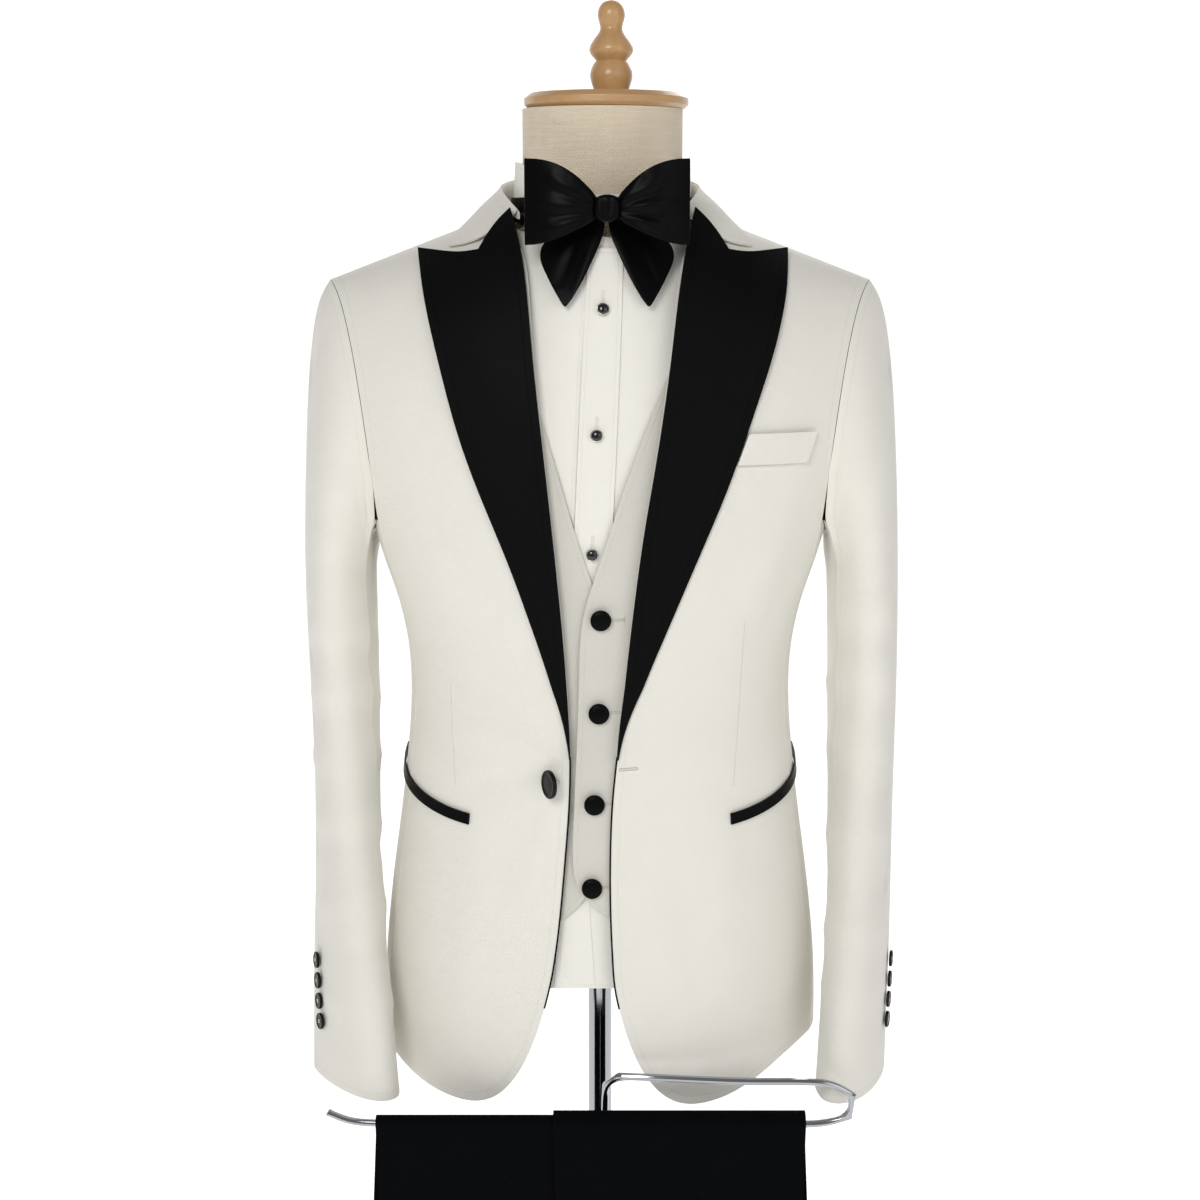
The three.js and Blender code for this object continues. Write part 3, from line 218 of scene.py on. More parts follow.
chrome = polished("chrome_plate", (0.4, 0.41, 0.43), 1, 0.05, 0.12)
for node, name, levels in (("stand_pole", "pole", 2), ("stand_base", "base_plate", 3),
                           ("rail_clamp", "clamp", 3), ("trouser_rail", "rail", 2)):
    show(fine_copy(node, name, levels, sharp=35), node, chrome)


# The form's neck cap and finial: beech turned on a lathe, sanded and lacquered. The cap is glued on the
# form's neck, and the finial screws into it. The grain runs up the finial and across the cap.
grain, grain_in, grain_out = node_group(
    "beech_grain", [("Stretch", "NodeSocketVector", (60, 60, 7))],
    [("Mask", "NodeSocketFloat"), ("Height", "NodeSocketFloat")])
grain_place = grain.nodes.new("ShaderNodeTexCoord").outputs["Object"]
grain_stretch = grain.nodes.new("ShaderNodeVectorMath")
grain_stretch.operation = "MULTIPLY"
grain.links.new(grain_place, grain_stretch.inputs[0])
grain.links.new(grain_in.outputs["Stretch"], grain_stretch.inputs[1])
rings = texture(grain, "ShaderNodeTexNoise", grain_stretch.outputs[0], 1.4, Detail=5, Distortion=0.6)
flecks = texture(grain, "ShaderNodeTexNoise", grain_stretch.outputs[0], 14, Detail=2)
grain.links.new(maths(grain, "MULTIPLY_ADD", flecks.outputs["Fac"], 0.35,
                      maths(grain, "MULTIPLY", rings.outputs["Fac"], 0.75)), grain_out.inputs["Mask"])
grain.links.new(flecks.outputs["Fac"], grain_out.inputs["Height"])


def turned_beech(name, light, dark, stretch):
    """Lacquered beech with its grain stretched along the piece."""
    surface = bpy.data.materials.new(name)
    surface.use_nodes = True
    tree = surface.node_tree
    shader = tree.nodes["Principled BSDF"]
    wood = tree.nodes.new("ShaderNodeGroup")
    wood.node_tree = grain
    wood.inputs["Stretch"].default_value = stretch
    tree.links.new(blend_colours(tree, wood.outputs["Mask"], light, dark), shader.inputs["Base Color"])
    shader.inputs["Roughness"].default_value = 0.38
    shader.inputs["Coat Weight"].default_value = 0.35
    shader.inputs["Coat Roughness"].default_value = 0.12
    bump = tree.nodes.new("ShaderNodeBump")
    bump.inputs["Strength"].default_value = 0.12
    bump.inputs["Distance"].default_value = 0.0003
    tree.links.new(wood.outputs["Height"], bump.inputs["Height"])
    tree.links.new(bump.outputs[0], shader.inputs["Normal"])
    return surface


show(fine_copy("form_neck_cap", "neck_cap", 3, sharp=40), "form_neck_cap",
     turned_beech("cap_beech", (0.66, 0.42, 0.2), (0.4, 0.21, 0.08), (8, 60, 60)))
show(fine_copy("form_finial", "finial", 3, sharp=48), "form_finial",
     turned_beech("finial_beech", (0.68, 0.43, 0.2), (0.42, 0.22, 0.08), (60, 60, 8)))


# The dress form: a light moulded torso without limbs, padded and covered in undyed linen, drawn tight and
# sewn in long panels. Only its neck and its underside show. The cloth's slubs run level round the neck.
weave, weave_in, weave_out = node_group(
    "woven_threads",
    [("Threads", "NodeSocketFloat", 900.0),
     ("Slubs", "NodeSocketFloat", 0.3),
     ("Rib", "NodeSocketFloat", 0.0)],
    [("Mask", "NodeSocketFloat"), ("Height", "NodeSocketFloat")])
weave_place = weave.nodes.new("ShaderNodeTexCoord").outputs["Object"]
weave_split = weave.nodes.new("ShaderNodeSeparateXYZ")
weave.links.new(weave_place, weave_split.inputs[0])
weft = maths(weave, "SINE", maths(weave, "MULTIPLY", weave_split.outputs["Z"], weave_in.outputs["Threads"]))
around = maths(weave, "ADD", weave_split.outputs["X"], weave_split.outputs["Y"])
warp = maths(weave, "SINE", maths(weave, "MULTIPLY", around, weave_in.outputs["Threads"]))
crossing = maths(weave, "MULTIPLY", weft, warp)
level = weave.nodes.new("ShaderNodeVectorMath")
level.operation = "MULTIPLY"
weave.links.new(weave_place, level.inputs[0])
level.inputs[1].default_value = (30, 30, 1100)
slub = texture(weave, "ShaderNodeTexNoise", level.outputs[0], 1, Detail=3, Roughness=0.6)
mottle = texture(weave, "ShaderNodeTexNoise", weave_place, 38, Detail=4, Roughness=0.6)
slubs = maths(weave, "MULTIPLY", slub.outputs["Fac"], weave_in.outputs["Slubs"])
weave.links.new(maths(weave, "ADD", slubs, maths(weave, "MULTIPLY", mottle.outputs["Fac"], 0.4)),
                weave_out.inputs["Mask"])
ribs = maths(weave, "MULTIPLY", weft, weave_in.outputs["Rib"])
ribbed = maths(weave, "ADD", crossing, ribs)
weave.links.new(maths(weave, "ADD", ribbed, maths(weave, "MULTIPLY", slubs, 3)), weave_out.inputs["Height"])

stitching, stitch_in, stitch_out = node_group(
    "edge_stitching",
    [("Edge", "NodeSocketFloat", 0.0),
     ("Inset", "NodeSocketFloat", 6.5),
     ("Pitch", "NodeSocketFloat", 2400.0)],
    [("Mask", "NodeSocketFloat"), ("Height", "NodeSocketFloat")])
stitch_off = maths(stitching, "ABSOLUTE",
                   maths(stitching, "SUBTRACT", stitch_in.outputs["Edge"], stitch_in.outputs["Inset"]))
stitch_line = maths(stitching, "SUBTRACT", 1, maths(stitching, "DIVIDE", stitch_off, 0.9))
stitch_line = maths(stitching, "MAXIMUM", stitch_line, 0)
stitch_split = stitching.nodes.new("ShaderNodeSeparateXYZ")
stitching.links.new(stitching.nodes.new("ShaderNodeTexCoord").outputs["Object"], stitch_split.inputs[0])
stitch_run = maths(stitching, "ADD", stitch_split.outputs["Z"],
                   maths(stitching, "MULTIPLY", stitch_split.outputs["X"], 0.6))
stitch_beat = maths(stitching, "SINE", maths(stitching, "MULTIPLY", stitch_run, stitch_in.outputs["Pitch"]))
stitch_dash = maths(stitching, "MULTIPLY_ADD", stitch_beat, 0.35, 0.65)
stitch_mark = maths(stitching, "MULTIPLY", stitch_line, stitch_dash)
stitching.links.new(stitch_mark, stitch_out.inputs["Mask"])
stitching.links.new(maths(stitching, "MULTIPLY", stitch_mark, -1), stitch_out.inputs["Height"])


def cloth(name, light, dark, roughness, threads, slub_share, rib=0.0, relief=0.00025, strength=0.4,
          sheen=0.3, inset=0.0, stitch=(0, 0, 0), row_share=0.2, inside=None, gloss=0.5):
    """Woven cloth: thread relief, a soft mottle, a row of edge stitching and a second colour inside."""
    surface = bpy.data.materials.new(name)
    surface.use_nodes = True
    tree = surface.node_tree
    shader = tree.nodes["Principled BSDF"]
    threadwork = tree.nodes.new("ShaderNodeGroup")
    threadwork.node_tree = weave
    threadwork.inputs["Threads"].default_value = threads
    threadwork.inputs["Slubs"].default_value = slub_share
    threadwork.inputs["Rib"].default_value = rib
    colour = blend_colours(tree, threadwork.outputs["Mask"], light, dark)
    bump = tree.nodes.new("ShaderNodeBump")
    bump.inputs["Strength"].default_value = strength
    bump.inputs["Distance"].default_value = relief
    tree.links.new(threadwork.outputs["Height"], bump.inputs["Height"])
    if inset:
        row = tree.nodes.new("ShaderNodeGroup")
        row.node_tree = stitching
        row.inputs["Inset"].default_value = inset
        edge = tree.nodes.new("ShaderNodeAttribute")
        edge.attribute_name = "edge_mm"
        tree.links.new(edge.outputs["Fac"], row.inputs["Edge"])
        row_mask = maths(tree, "MULTIPLY", row.outputs["Mask"], row_share)
        colour = blend_colours(tree, row_mask, colour, stitch)
        dent = tree.nodes.new("ShaderNodeBump")
        dent.inputs["Strength"].default_value = 0.35
        dent.inputs["Distance"].default_value = 0.0006
        tree.links.new(row.outputs["Height"], dent.inputs["Height"])
        tree.links.new(bump.outputs[0], dent.inputs["Normal"])
        bump = dent
    if inside:
        lining = tree.nodes.new("ShaderNodeAttribute")
        lining.attribute_name = "inside"
        colour = blend_colours(tree, lining.outputs["Fac"], colour, inside)
    tree.links.new(colour, shader.inputs["Base Color"])
    tree.links.new(bump.outputs[0], shader.inputs["Normal"])
    shader.inputs["Roughness"].default_value = roughness
    shader.inputs["Specular IOR Level"].default_value = gloss
    shader.inputs["Sheen Weight"].default_value = sheen
    shader.inputs["Sheen Roughness"].default_value = 0.45
    return surface


linen = cloth("undyed_linen", (0.9, 0.79, 0.62), (0.62, 0.52, 0.38), 0.9, 2600, 0.75,
              relief=0.0004, strength=0.6)
form = show(fine_copy("form_torso", "form_body", 2, sharp=70), "form_torso", linen)


# The shirt: off white cotton poplin on the form, cut as two fronts, a back, a placket strip sewn over the
# left front's edge and a stand collar. The studs go through worked holes in the placket.
def distance_to_line(place, start, end):
    """How far a flat place is from a line between two flat places, and how far along it lies."""
    run = Vector(end) - Vector(start)
    along = max(0.0, min(1.0, (place - Vector(start)).dot(run) / run.length_squared))
    return (place - Vector(start) - run * along).length, along


def crease(piece, folds, flat, outwards, only=None):
    """Presses soft uneven folds into a shell. A fold is a line on a flat view, with a width and a height.

    All are in mm. flat gives a point's place on that view, outwards the direction that the cloth moves."""
    for v in piece.data.vertices:
        mm = v.co * 1000
        if only and not only(mm):
            continue
        place = Vector(flat(mm))
        drift = noise.noise(mm * 0.021)
        lift = 0.0
        for start, end, width, height in folds:
            off, along = distance_to_line(place, start, end)
            if off > width * 3:
                continue
            off *= 1 + 0.35 * drift
            fade = math.sin(math.pi * min(1.0, 0.12 + along * 0.88)) ** 0.6 if along < 1 else 0.0
            lift += height * fade * math.exp(-((off / width) ** 2)) * (1 + 0.5 * drift)
        if lift:
            v.co += outwards(mm) * (lift / 1000)
    piece.data.update()


def mark_edges(piece):
    """Stores each point's distance from the shell's cut edge, in mm, for rows of stitching."""
    mesh = bmesh.new()
    mesh.from_mesh(piece.data)
    sharp = [e for e in mesh.edges if len(e.link_faces) == 2 and e.calc_face_angle(0) > math.radians(60)]
    tree = kdtree.KDTree(len(sharp) * 2)
    for i, e in enumerate(sharp):
        tree.insert(e.verts[0].co, i * 2)
        tree.insert(e.verts[1].co, i * 2 + 1)
    tree.balance()
    values = [tree.find(v.co)[2] * 1000 for v in mesh.verts]
    mesh.free()
    layer = piece.data.attributes.new("edge_mm", "FLOAT", "POINT")
    layer.data.foreach_set("value", values)


def mark_inside(piece, outwards, rim_from=0.35):
    """Stores 1 on the faces that look back at the wearer, so that the lining can be another colour."""
    layer = piece.data.attributes.new("inside", "FLOAT", "FACE")
    values = []
    for face in piece.data.polygons:
        values.append(1.0 if face.normal.dot(outwards(face.center * 1000)) < rim_from else 0.0)
    layer.data.foreach_set("value", values)


def front_view(mm):
    """A point's place seen from the front."""
    return (mm.x, mm.z)


def from_spine(mm):
    """The way out of the body at a point."""
    return Vector((mm.x * 0.45, mm.y, 0)).normalized()


def surface_of(piece):
    """A piece's faces, ready to be searched."""
    faces = [face.vertices for face in piece.data.polygons]
    return bvhtree.BVHTree.FromPolygons([v.co for v in piece.data.vertices], faces)


def sewn_line(name, piece, places, thickness, surface, closed=False, from_front=True):
    """A thread sewn on a shell, along (x, z) places seen from the front or points near it, all in mm."""
    skin = surface_of(piece)
    line = bpy.data.curves.new(name, "CURVE")
    line.dimensions = "3D"
    line.bevel_depth = thickness / 2000
    line.bevel_resolution = 2
    line.use_fill_caps = True
    spline = line.splines.new("POLY")
    spline.points.add(len(places) - 1)
    spline.use_cyclic_u = closed
    for point, place in zip(spline.points, places):
        if from_front:
            before = Vector((place[0] / 1000, -1, place[1] / 1000))
            spot = skin.ray_cast(before, Vector((0, 1, 0)))[0]
        else:
            spot = skin.find_nearest(Vector(place) / 1000)[0]
        point.co = (*spot, 1)
    bpy.ops.object.select_all(action="DESELECT")
    thread = bpy.data.objects.new(name, line)
    scene.collection.objects.link(thread)
    thread.select_set(True)
    bpy.context.view_layer.objects.active = thread
    bpy.ops.object.convert(target="MESH")
    bpy.ops.object.shade_smooth()
    thread.data.materials.append(surface)
    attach(thread, "root")
    return thread


def buttonhole(name, piece, start, end, width, thickness, surface):
    """A worked buttonhole: a ring of thread sewn round a slit."""
    run = (Vector(end) - Vector(start)).normalized() * width / 2
    side = Vector((-run.y, run.x))
    ring = []
    for centre, turn in ((Vector(end), 0), (Vector(start), math.pi)):
        for step in range(7):
            angle = turn + math.pi / 2 - math.pi * step / 6
            ring.append(centre + run * math.cos(angle) + side * math.sin(angle))
    pairs = zip(ring, ring[1:] + ring[:1])
    outline = [a.lerp(b, share / 3) for a, b in pairs for share in range(3)]
    return sewn_line(name, piece, outline, thickness, surface, closed=True)


poplin = cloth("cotton_poplin", (0.9, 0.885, 0.82), (0.8, 0.775, 0.68), 0.85, 5200, 0.08, relief=0.00012,
               strength=0.25, sheen=0.15, inset=3.0, stitch=(0.6, 0.57, 0.48))
SHIRT_FOLDS = [
    ((-4, 1100), (-12, 900), 9, -1.2),
    ((6, 1045), (10, 840), 11, 1.0),
    ((-40, 1390), (-16, 1300), 9, 0.9),
    ((40, 1392), (24, 1290), 9, 0.9),
]
shirt_cuts = {
    "shirt_front_right": ((0.28, 0.66), 0.11),
    "shirt_front_left": ((0.3, 0.66), 0.135),
    "shirt_back": ((0.46, 0.64), 0.235),
    "shirt_placket": ((0.03, 0.38), 0.0113),
    "shirt_collar": ((0.46, 0.041), 0.0185),
}
for node, (flat, area) in shirt_cuts.items():
    levels = 3 if node in ("shirt_placket", "shirt_collar") else 2
    part = fine_copy(node, node + "_cotton", levels, sharp=60)
    if node.startswith("shirt_front"):
        crease(part, SHIRT_FOLDS, front_view, from_spine)
    mark_edges(part)
    show(part, node, poplin)

# The studs' holes are worked upright in the placket, and a seam runs down from the placket's lower end.
STUD_HOLES = ((2.2, 1345.0), (-2.4, 1249.0), (-5.8, 1157.0))
TAIL_SEAM_TOP = Vector((-9, 868))
TAIL_SEAM_FOOT = Vector((-4, 794))
white_thread = cloth("shirt_thread", (0.86, 0.84, 0.76), (0.7, 0.67, 0.58), 0.8, 9000, 0.1)
placket = bpy.data.objects["shirt_placket_cotton"]
for i, (x, z) in enumerate(STUD_HOLES, 1):
    buttonhole(f"shirt_hole_{i}", placket, (x, z - 5), (x + 0.2, z + 4), 1.5, 0.7, white_thread)
tail_seam = [TAIL_SEAM_TOP.lerp(TAIL_SEAM_FOOT, share / 12) for share in range(13)]
sewn_line("shirt_tail_seam", bpy.data.objects["shirt_front_left_cotton"], tail_seam, 0.7, white_thread)


# The shirt studs: a glossy black dome, turned and polished, set in a thin silver rim. A post behind it goes
# through the placket.
def seat_of(node):
    """Where a round CAD piece sits: its middle, and the direction that its flat outer end faces."""
    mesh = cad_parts[node].data
    middle = sum((v.co for v in mesh.vertices), Vector()) / len(mesh.vertices)
    sums = {}
    for face in mesh.polygons:
        key = tuple(round(c, 1) for c in face.normal)
        sums[key] = sums.get(key, Vector()) + face.normal * face.area
    outwards = Vector((middle.x * 0.4, middle.y, 0)).normalized()
    facing = [n for n in sums.values() if n.normalized().dot(outwards) > 0.2]
    return middle, max(facing, key=lambda n: n.length).normalized()


def turned_disc(name, radius, thickness, steps):
    """A round piece turned from a blank. Each step insets its end face and then moves it, both in mm."""
    bpy.ops.object.select_all(action="DESELECT")
    bpy.ops.mesh.primitive_cylinder_add(vertices=48, radius=radius / 1000, depth=thickness / 1000,
                                        location=(0, 0, 0))
    disc = bpy.context.object
    disc.name = name
    bpy.ops.object.mode_set(mode="EDIT")
    for inset, move in steps:
        bpy.ops.mesh.select_all(action="DESELECT")
        mesh = bmesh.from_edit_mesh(disc.data)
        mesh.faces.ensure_lookup_table()
        ends = [f for f in mesh.faces if len(f.verts) == 48 and f.normal.z > 0.5]
        min(ends, key=lambda f: f.calc_area()).select_set(True)
        bmesh.update_edit_mesh(disc.data)
        bpy.ops.mesh.inset(thickness=inset / 1000)
        bpy.ops.transform.translate(value=(0, 0, move / 1000))
    bpy.ops.object.mode_set(mode="OBJECT")
    bevel = disc.modifiers.new("soft_edges", "BEVEL")
    bevel.width = 0.0004
    bevel.segments = 2
    bevel.limit_method = "ANGLE"
    bevel.angle_limit = math.radians(35)
    bpy.ops.object.modifier_apply(modifier="soft_edges")
    bpy.ops.object.shade_smooth_by_angle(angle=math.radians(50))
    return disc


def set_on(model, node, name, spin=0.0):
    """A copy of a turned piece, moved onto its CAD node's seat, with its place in its mesh."""
    bpy.ops.object.select_all(action="DESELECT")
    model.select_set(True)
    bpy.context.view_layer.objects.active = model
    bpy.ops.object.duplicate()
    copy = bpy.context.object
    copy.name = name
    middle, facing = seat_of(node)
    turn = facing.to_track_quat("Z", "Y").to_matrix().to_4x4()
    copy.data.transform(Matrix.Translation(middle) @ turn @ Matrix.Rotation(spin, 4, "Z"))
    return copy


DOME_RADIUS = 0.0041
DOME_FOOT = 0.0005
jet = polished("jet_dome", (0.008, 0.008, 0.01), 0, 0.08, 0.1, coat=0.5)
silver = polished("silver_rim", (0.6, 0.58, 0.54), 1, 0.18, 0.15)
stud = turned_disc("stud_model", 4.9, 2.2, [(0.7, 0.0), (0.15, 0.35), (1.0, 0.75), (1.3, 0.35), (1.0, 0.1)])
stud.data.materials.append(silver)
stud.data.materials.append(jet)
for face in stud.data.polygons:
    on_dome = face.center.xy.length < DOME_RADIUS and face.center.z > DOME_FOOT
    face.material_index = 1 if on_dome else 0
for i in (1, 2, 3):
    node = f"shirt_stud_{i}"
    piece = set_on(stud, node, f"{node}_dome")
    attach(piece, "root")
    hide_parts(node)
bpy.data.objects.remove(stud)


# The bow tie: black silk satin, tied from one shaped strip. A band goes round the collar, two looped wings
# and two tails are gathered by the knot, and soft folds spread from it.
BOW_MIDDLE = 5.5
BOW_MIDDLE_DEPTH = -95
KNOT_FRONT_DEPTH = -103
bow_satin = cloth("bow_satin", (0.0012, 0.0012, 0.0015), (0.0026, 0.0026, 0.0032), 0.36, 5200, 0.1,
                  relief=0.0001, strength=0.15, sheen=0.0, gloss=0.07)
BOW_FOLDS = [
    ((9, 1414), (46, 1438), 4.2, 2.0),
    ((9, 1412), (55, 1417), 3.8, 1.7),
    ((9, 1409), (46, 1395), 3.8, 1.9),
    ((8, 1415), (28, 1437), 3.3, 1.5),
    ((8, 1407), (26, 1392), 3.0, 1.4),
    ((9, 1413), (42, 1427), 2.8, -1.7),
    ((9, 1410), (44, 1405), 2.8, -1.6),
]


def on_bow(mm):
    """A point's place on either half of the bow, seen from the front."""
    return (abs(mm.x - BOW_MIDDLE), mm.z)


def off_bow(mm):
    """The way out of a looped wing: forwards on its front layer, backwards on the other."""
    return Vector((0, -1 if mm.y < BOW_MIDDLE_DEPTH else 1, 0))


for side in ("right", "left"):
    node = f"bow_tie_wing_{side}"
    wing = fine_copy(node, f"bow_wing_{side}", 3, sharp=110)
    crease(wing, BOW_FOLDS, on_bow, off_bow)
    show(wing, node, bow_satin)
    node = f"bow_tie_tail_{side}"
    tail = fine_copy(node, f"bow_tail_{side}", 3, sharp=110)
    crease(tail, [((10, 1388), (26, 1345), 5, 1.4), ((24, 1388), (38, 1352), 4, -1.2)], on_bow,
           lambda mm: Vector((0, -1, 0)))
    show(tail, node, bow_satin)
band = show(fine_copy("bow_tie_band", "bow_band", 2, sharp=60), "bow_tie_band", bow_satin)
knot = fine_copy("bow_tie_knot", "bow_knot", 3, sharp=75)
crease(knot, [((2, 1420), (4, 1404), 2.2, -0.8), ((8, 1420), (7, 1404), 2.0, -0.9)], front_view,
       lambda mm: Vector((0, -1, 0)), only=lambda mm: mm.y < KNOT_FRONT_DEPTH)
show(knot, "bow_tie_knot", bow_satin)


# The waistcoat: ivory wool over the shirt, a low V front with four satin covered buttons and buttonholes, the
# left front lapping over the right, sewn to a plain back at the sides and shoulders.
IVORY = (0.83, 0.81, 0.745)
IVORY_SHADE = (0.75, 0.725, 0.645)
# The waistcoat's ivory wool is coloured darker than the jacket's: painted shade of its recess behind the
# jacket's fronts.
waistcoat_wool_painted_shade = cloth("waistcoat_wool_painted_shade", (0.69, 0.67, 0.61), (0.61, 0.59, 0.52), 0.92, 3600, 0.12,
                       relief=0.0002, strength=0.35, inset=4.0, stitch=(0.5, 0.47, 0.38),
                       inside=(0.55, 0.52, 0.44))
WAISTCOAT_FOLDS = [
    ((14, 1092), (60, 1080), 6, -0.9),
    ((12, 1018), (52, 1030), 6, 0.8),
    ((12, 944), (56, 962), 7, 0.9),
    ((-16, 1020), (-50, 1004), 7, 0.8),
    ((-12, 948), (-48, 930), 7, -0.9),
    ((0, 1075), (-4, 1042), 6, 0.7),
]
waistcoat_cuts = {
    "waistcoat_front_right": ((0.26, 0.58), 0.1),
    "waistcoat_front_left": ((0.27, 0.58), 0.105),
    "waistcoat_back": ((0.42, 0.55), 0.205),
}
for node, (flat, area) in waistcoat_cuts.items():
    part = fine_copy(node, node + "_wool", 3 if "front" in node else 2, sharp=60)
    if "front" in node:
        crease(part, WAISTCOAT_FOLDS, front_view, from_spine)
    mark_edges(part)
    mark_inside(part, from_spine, rim_from=-0.3)
    show(part, node, waistcoat_wool_painted_shade)

# Each buttonhole is worked level in the left front, and a short bar of thread closes its outer end.
ivory_thread = cloth("ivory_thread", (0.62, 0.59, 0.5), (0.5, 0.47, 0.38), 0.85, 9000, 0.1)
left_front = bpy.data.objects["waistcoat_front_left_wool"]
WAISTCOAT_BUTTONS = ((1, 1095.5), (-0.5, 1021), (-4, 947), (-6, 878))
for i, (x, z) in enumerate(WAISTCOAT_BUTTONS, 1):
    buttonhole(f"waistcoat_hole_{i}", left_front, (x + 2, z), (x + 16.5, z + 0.4), 1.6, 0.8, ivory_thread)
    bar = [(x + 18.2, z - 1.6), (x + 18.2, z + 0.4), (x + 18.1, z + 2.4)]
    sewn_line(f"waistcoat_bar_{i}", left_front, bar, 1.1, ivory_thread)

covered = turned_disc("covered_model", 8.2, 2.6, [(0.5, 0.5), (1.2, 0.6), (2.2, 0.45), (2.4, 0.15)])
covered.data.materials.append(bow_satin)
for i in (1, 2, 3, 4):
    node = f"waistcoat_button_{i}"
    show(set_on(covered, node, f"{node}_satin"), node, bow_satin)
bpy.data.objects.remove(covered)


# The dinner jacket's body: ivory wool barathea. Two fronts with a dart, a side panel and a back on each side,
# pressed and sewn. The front edges are faced with black satin, which shows as a thin line.
BLACK_LINING = (0.01, 0.01, 0.012)
jacket_wool = cloth("jacket_wool", IVORY, IVORY_SHADE, 0.93, 3600, 0.12, relief=0.0002, strength=0.35,
                    inset=6.5, stitch=(0.55, 0.52, 0.43), inside=BLACK_LINING)
FRONT_FOLDS = [
    ((-40, 985), (-120, 1010), 9, 1.6),
    ((-44, 975), (-110, 955), 8, -1.3),
    ((-60, 1000), (-140, 1060), 12, 1.4),
    ((-30, 960), (-70, 850), 12, 1.3),
    ((-95, 930), (-110, 760), 14, 1.2),
    ((-150, 1170), (-110, 1110), 12, 1.6),
    ((-165, 1145), (-120, 1060), 10, -1.4),
    ((-150, 1330), (-120, 1250), 14, -1.3),
    ((-140, 960), (-165, 985), 9, 1.6),
    ((-120, 985), (-165, 1020), 9, -1.2),
    ((95, 940), (108, 760), 14, 1.3),
    ((60, 905), (78, 780), 12, -1.1),
    ((150, 1170), (112, 1105), 12, 1.7),
    ((166, 1140), (118, 1062), 10, -1.5),
    ((148, 1330), (120, 1262), 14, -1.2),
    ((140, 955), (165, 988), 9, 1.7),
    ((112, 985), (162, 1025), 10, -1.2),
    ((40, 975), (110, 1000), 10, 1.1),
]
BACK_FOLDS = [
    ((-140, 1280), (-60, 1190), 16, 1.6),
    ((-150, 1210), (-70, 1120), 14, -1.5),
    ((138, 1276), (64, 1180), 16, 1.5),
    ((150, 1200), (66, 1124), 14, -1.6),
    ((-120, 1000), (-20, 975), 12, 1.6),
    ((120, 992), (24, 968), 12, 1.5),
    ((-130, 965), (-40, 945), 9, -1.4),
    ((124, 955), (34, 940), 9, -1.3),
    ((-90, 930), (-100, 770), 15, 1.4),
    ((88, 930), (96, 765), 15, 1.3),
    ((0, 1395), (0, 1330), 20, -1.0),
]
jacket_cuts = {
    "front": ((0.31, 0.74), 0.122),
    "side": ((0.1, 0.44), 0.036),
    "back": ((0.24, 0.7), 0.137),
}
trims = {}
for side in ("right", "left"):
    jet_node = f"jacket_pocket_jet_{side}"
    jet_piece = fine_copy(jet_node, f"pocket_jet_{side}_satin", 2, sharp=60)
    trims[side] = [show(jet_piece, jet_node, bow_satin)]
welt = fine_copy("jacket_breast_welt", "breast_welt_wool", 3, sharp=60)
crease(welt, FRONT_FOLDS, front_view, from_spine)
welt_wool = cloth("welt_wool", IVORY, IVORY_SHADE, 0.93, 3600, 0.12, relief=0.0002, strength=0.35)
trims["left"].append(show(welt, "jacket_breast_welt", welt_wool))
for side in ("right", "left"):
    for cut, (flat, area) in jacket_cuts.items():
        node = f"jacket_{cut}_{side}"
        part = fine_copy(node, node + "_wool", 3, sharp=60)
        if cut != "side":
            crease(part, FRONT_FOLDS if cut == "front" else BACK_FOLDS, front_view, from_spine)
        mark_edges(part)
        mark_inside(part, from_spine, rim_from=-0.3)
        show(part, node, jacket_wool)

# Each front has one dart. A line of the facing's satin follows its edge, from the hem's curve up to the
# lapel's foot. The left front has the one buttonhole.
# Each dart is drawn as a thin thread a little darker than the jacket's wool: painted shade along the dart's
# pressed seam.
dart_shade_thread = cloth("dart_shade_thread", (0.72, 0.7, 0.63), (0.64, 0.62, 0.55), 0.95, 9000, 0.1)
DARTS = {
    "right": ((-119, 1040), (-118, 996), (-116, 952)),
    "left": ((114.5, 1090), (111, 1020), (106.6, 951)),
}
HEM_CURVE_TOP = 776
LAPEL_FOOT = 988
for side, dart in DARTS.items():
    front = bpy.data.objects[f"jacket_front_{side}_wool"]
    stops = [Vector(dart[k]).lerp(Vector(dart[k + 1]), share / 12) for k in (0, 1) for share in range(12)]
    sewn_line(f"front_dart_{side}", front, stops, 0.6, dart_shade_thread)
    edge = []
    for z in range(HEM_CURVE_TOP, LAPEL_FOOT, 6):
        row = [v.co * 1000 for v in front.data.vertices if abs(v.co.z * 1000 - z) < 4]
        tip = min(row, key=lambda mm: abs(mm.x))
        edge.append((tip.x, min(mm.y for mm in row if abs(mm.x - tip.x) < 2.5), z))
    sewn_line(f"front_edge_{side}", front, edge, 1.5, bow_satin, from_front=False)
buttonhole("front_hole", bpy.data.objects["jacket_front_left_wool"], (16, 975.6), (29, 976.4), 1.7, 0.9,
           ivory_thread)


# The sleeves: an upper and an under sleeve each, sewn down both sides and eased into the armhole over a light
# pad. They hang bent forward a little and crease at the elbow and above the cuff.
ARM_MIDDLE = 213
FOLDS_BELOW = 1330
FOLDS_WITHIN = 236
SLEEVE_MIDDLES = (
    (700, -66),
    (760, -54),
    (820, -38),
    (880, -21),
    (940, -8),
    (1000, 0),
    (1060, 2),
    (1120, 3),
    (1400, 3),
)


def sleeve_middle(z):
    """How far back the sleeve's middle lies at a height."""
    for (low, a), (high, b) in zip(SLEEVE_MIDDLES, SLEEVE_MIDDLES[1:]):
        if z <= high:
            return a + (b - a) * max(0.0, (z - low) / (high - low))
    return 3.0


def from_arm(mm):
    """The way out of the arm at a point."""
    sideways = mm.x - math.copysign(ARM_MIDDLE, mm.x)
    return Vector((sideways, (mm.y - sleeve_middle(mm.z)) * 0.6, 0)).normalized()


def along_arm(mm):
    """A point's place seen from beside the arm, with the arm's bend taken out."""
    return (mm.y - sleeve_middle(mm.z), mm.z)


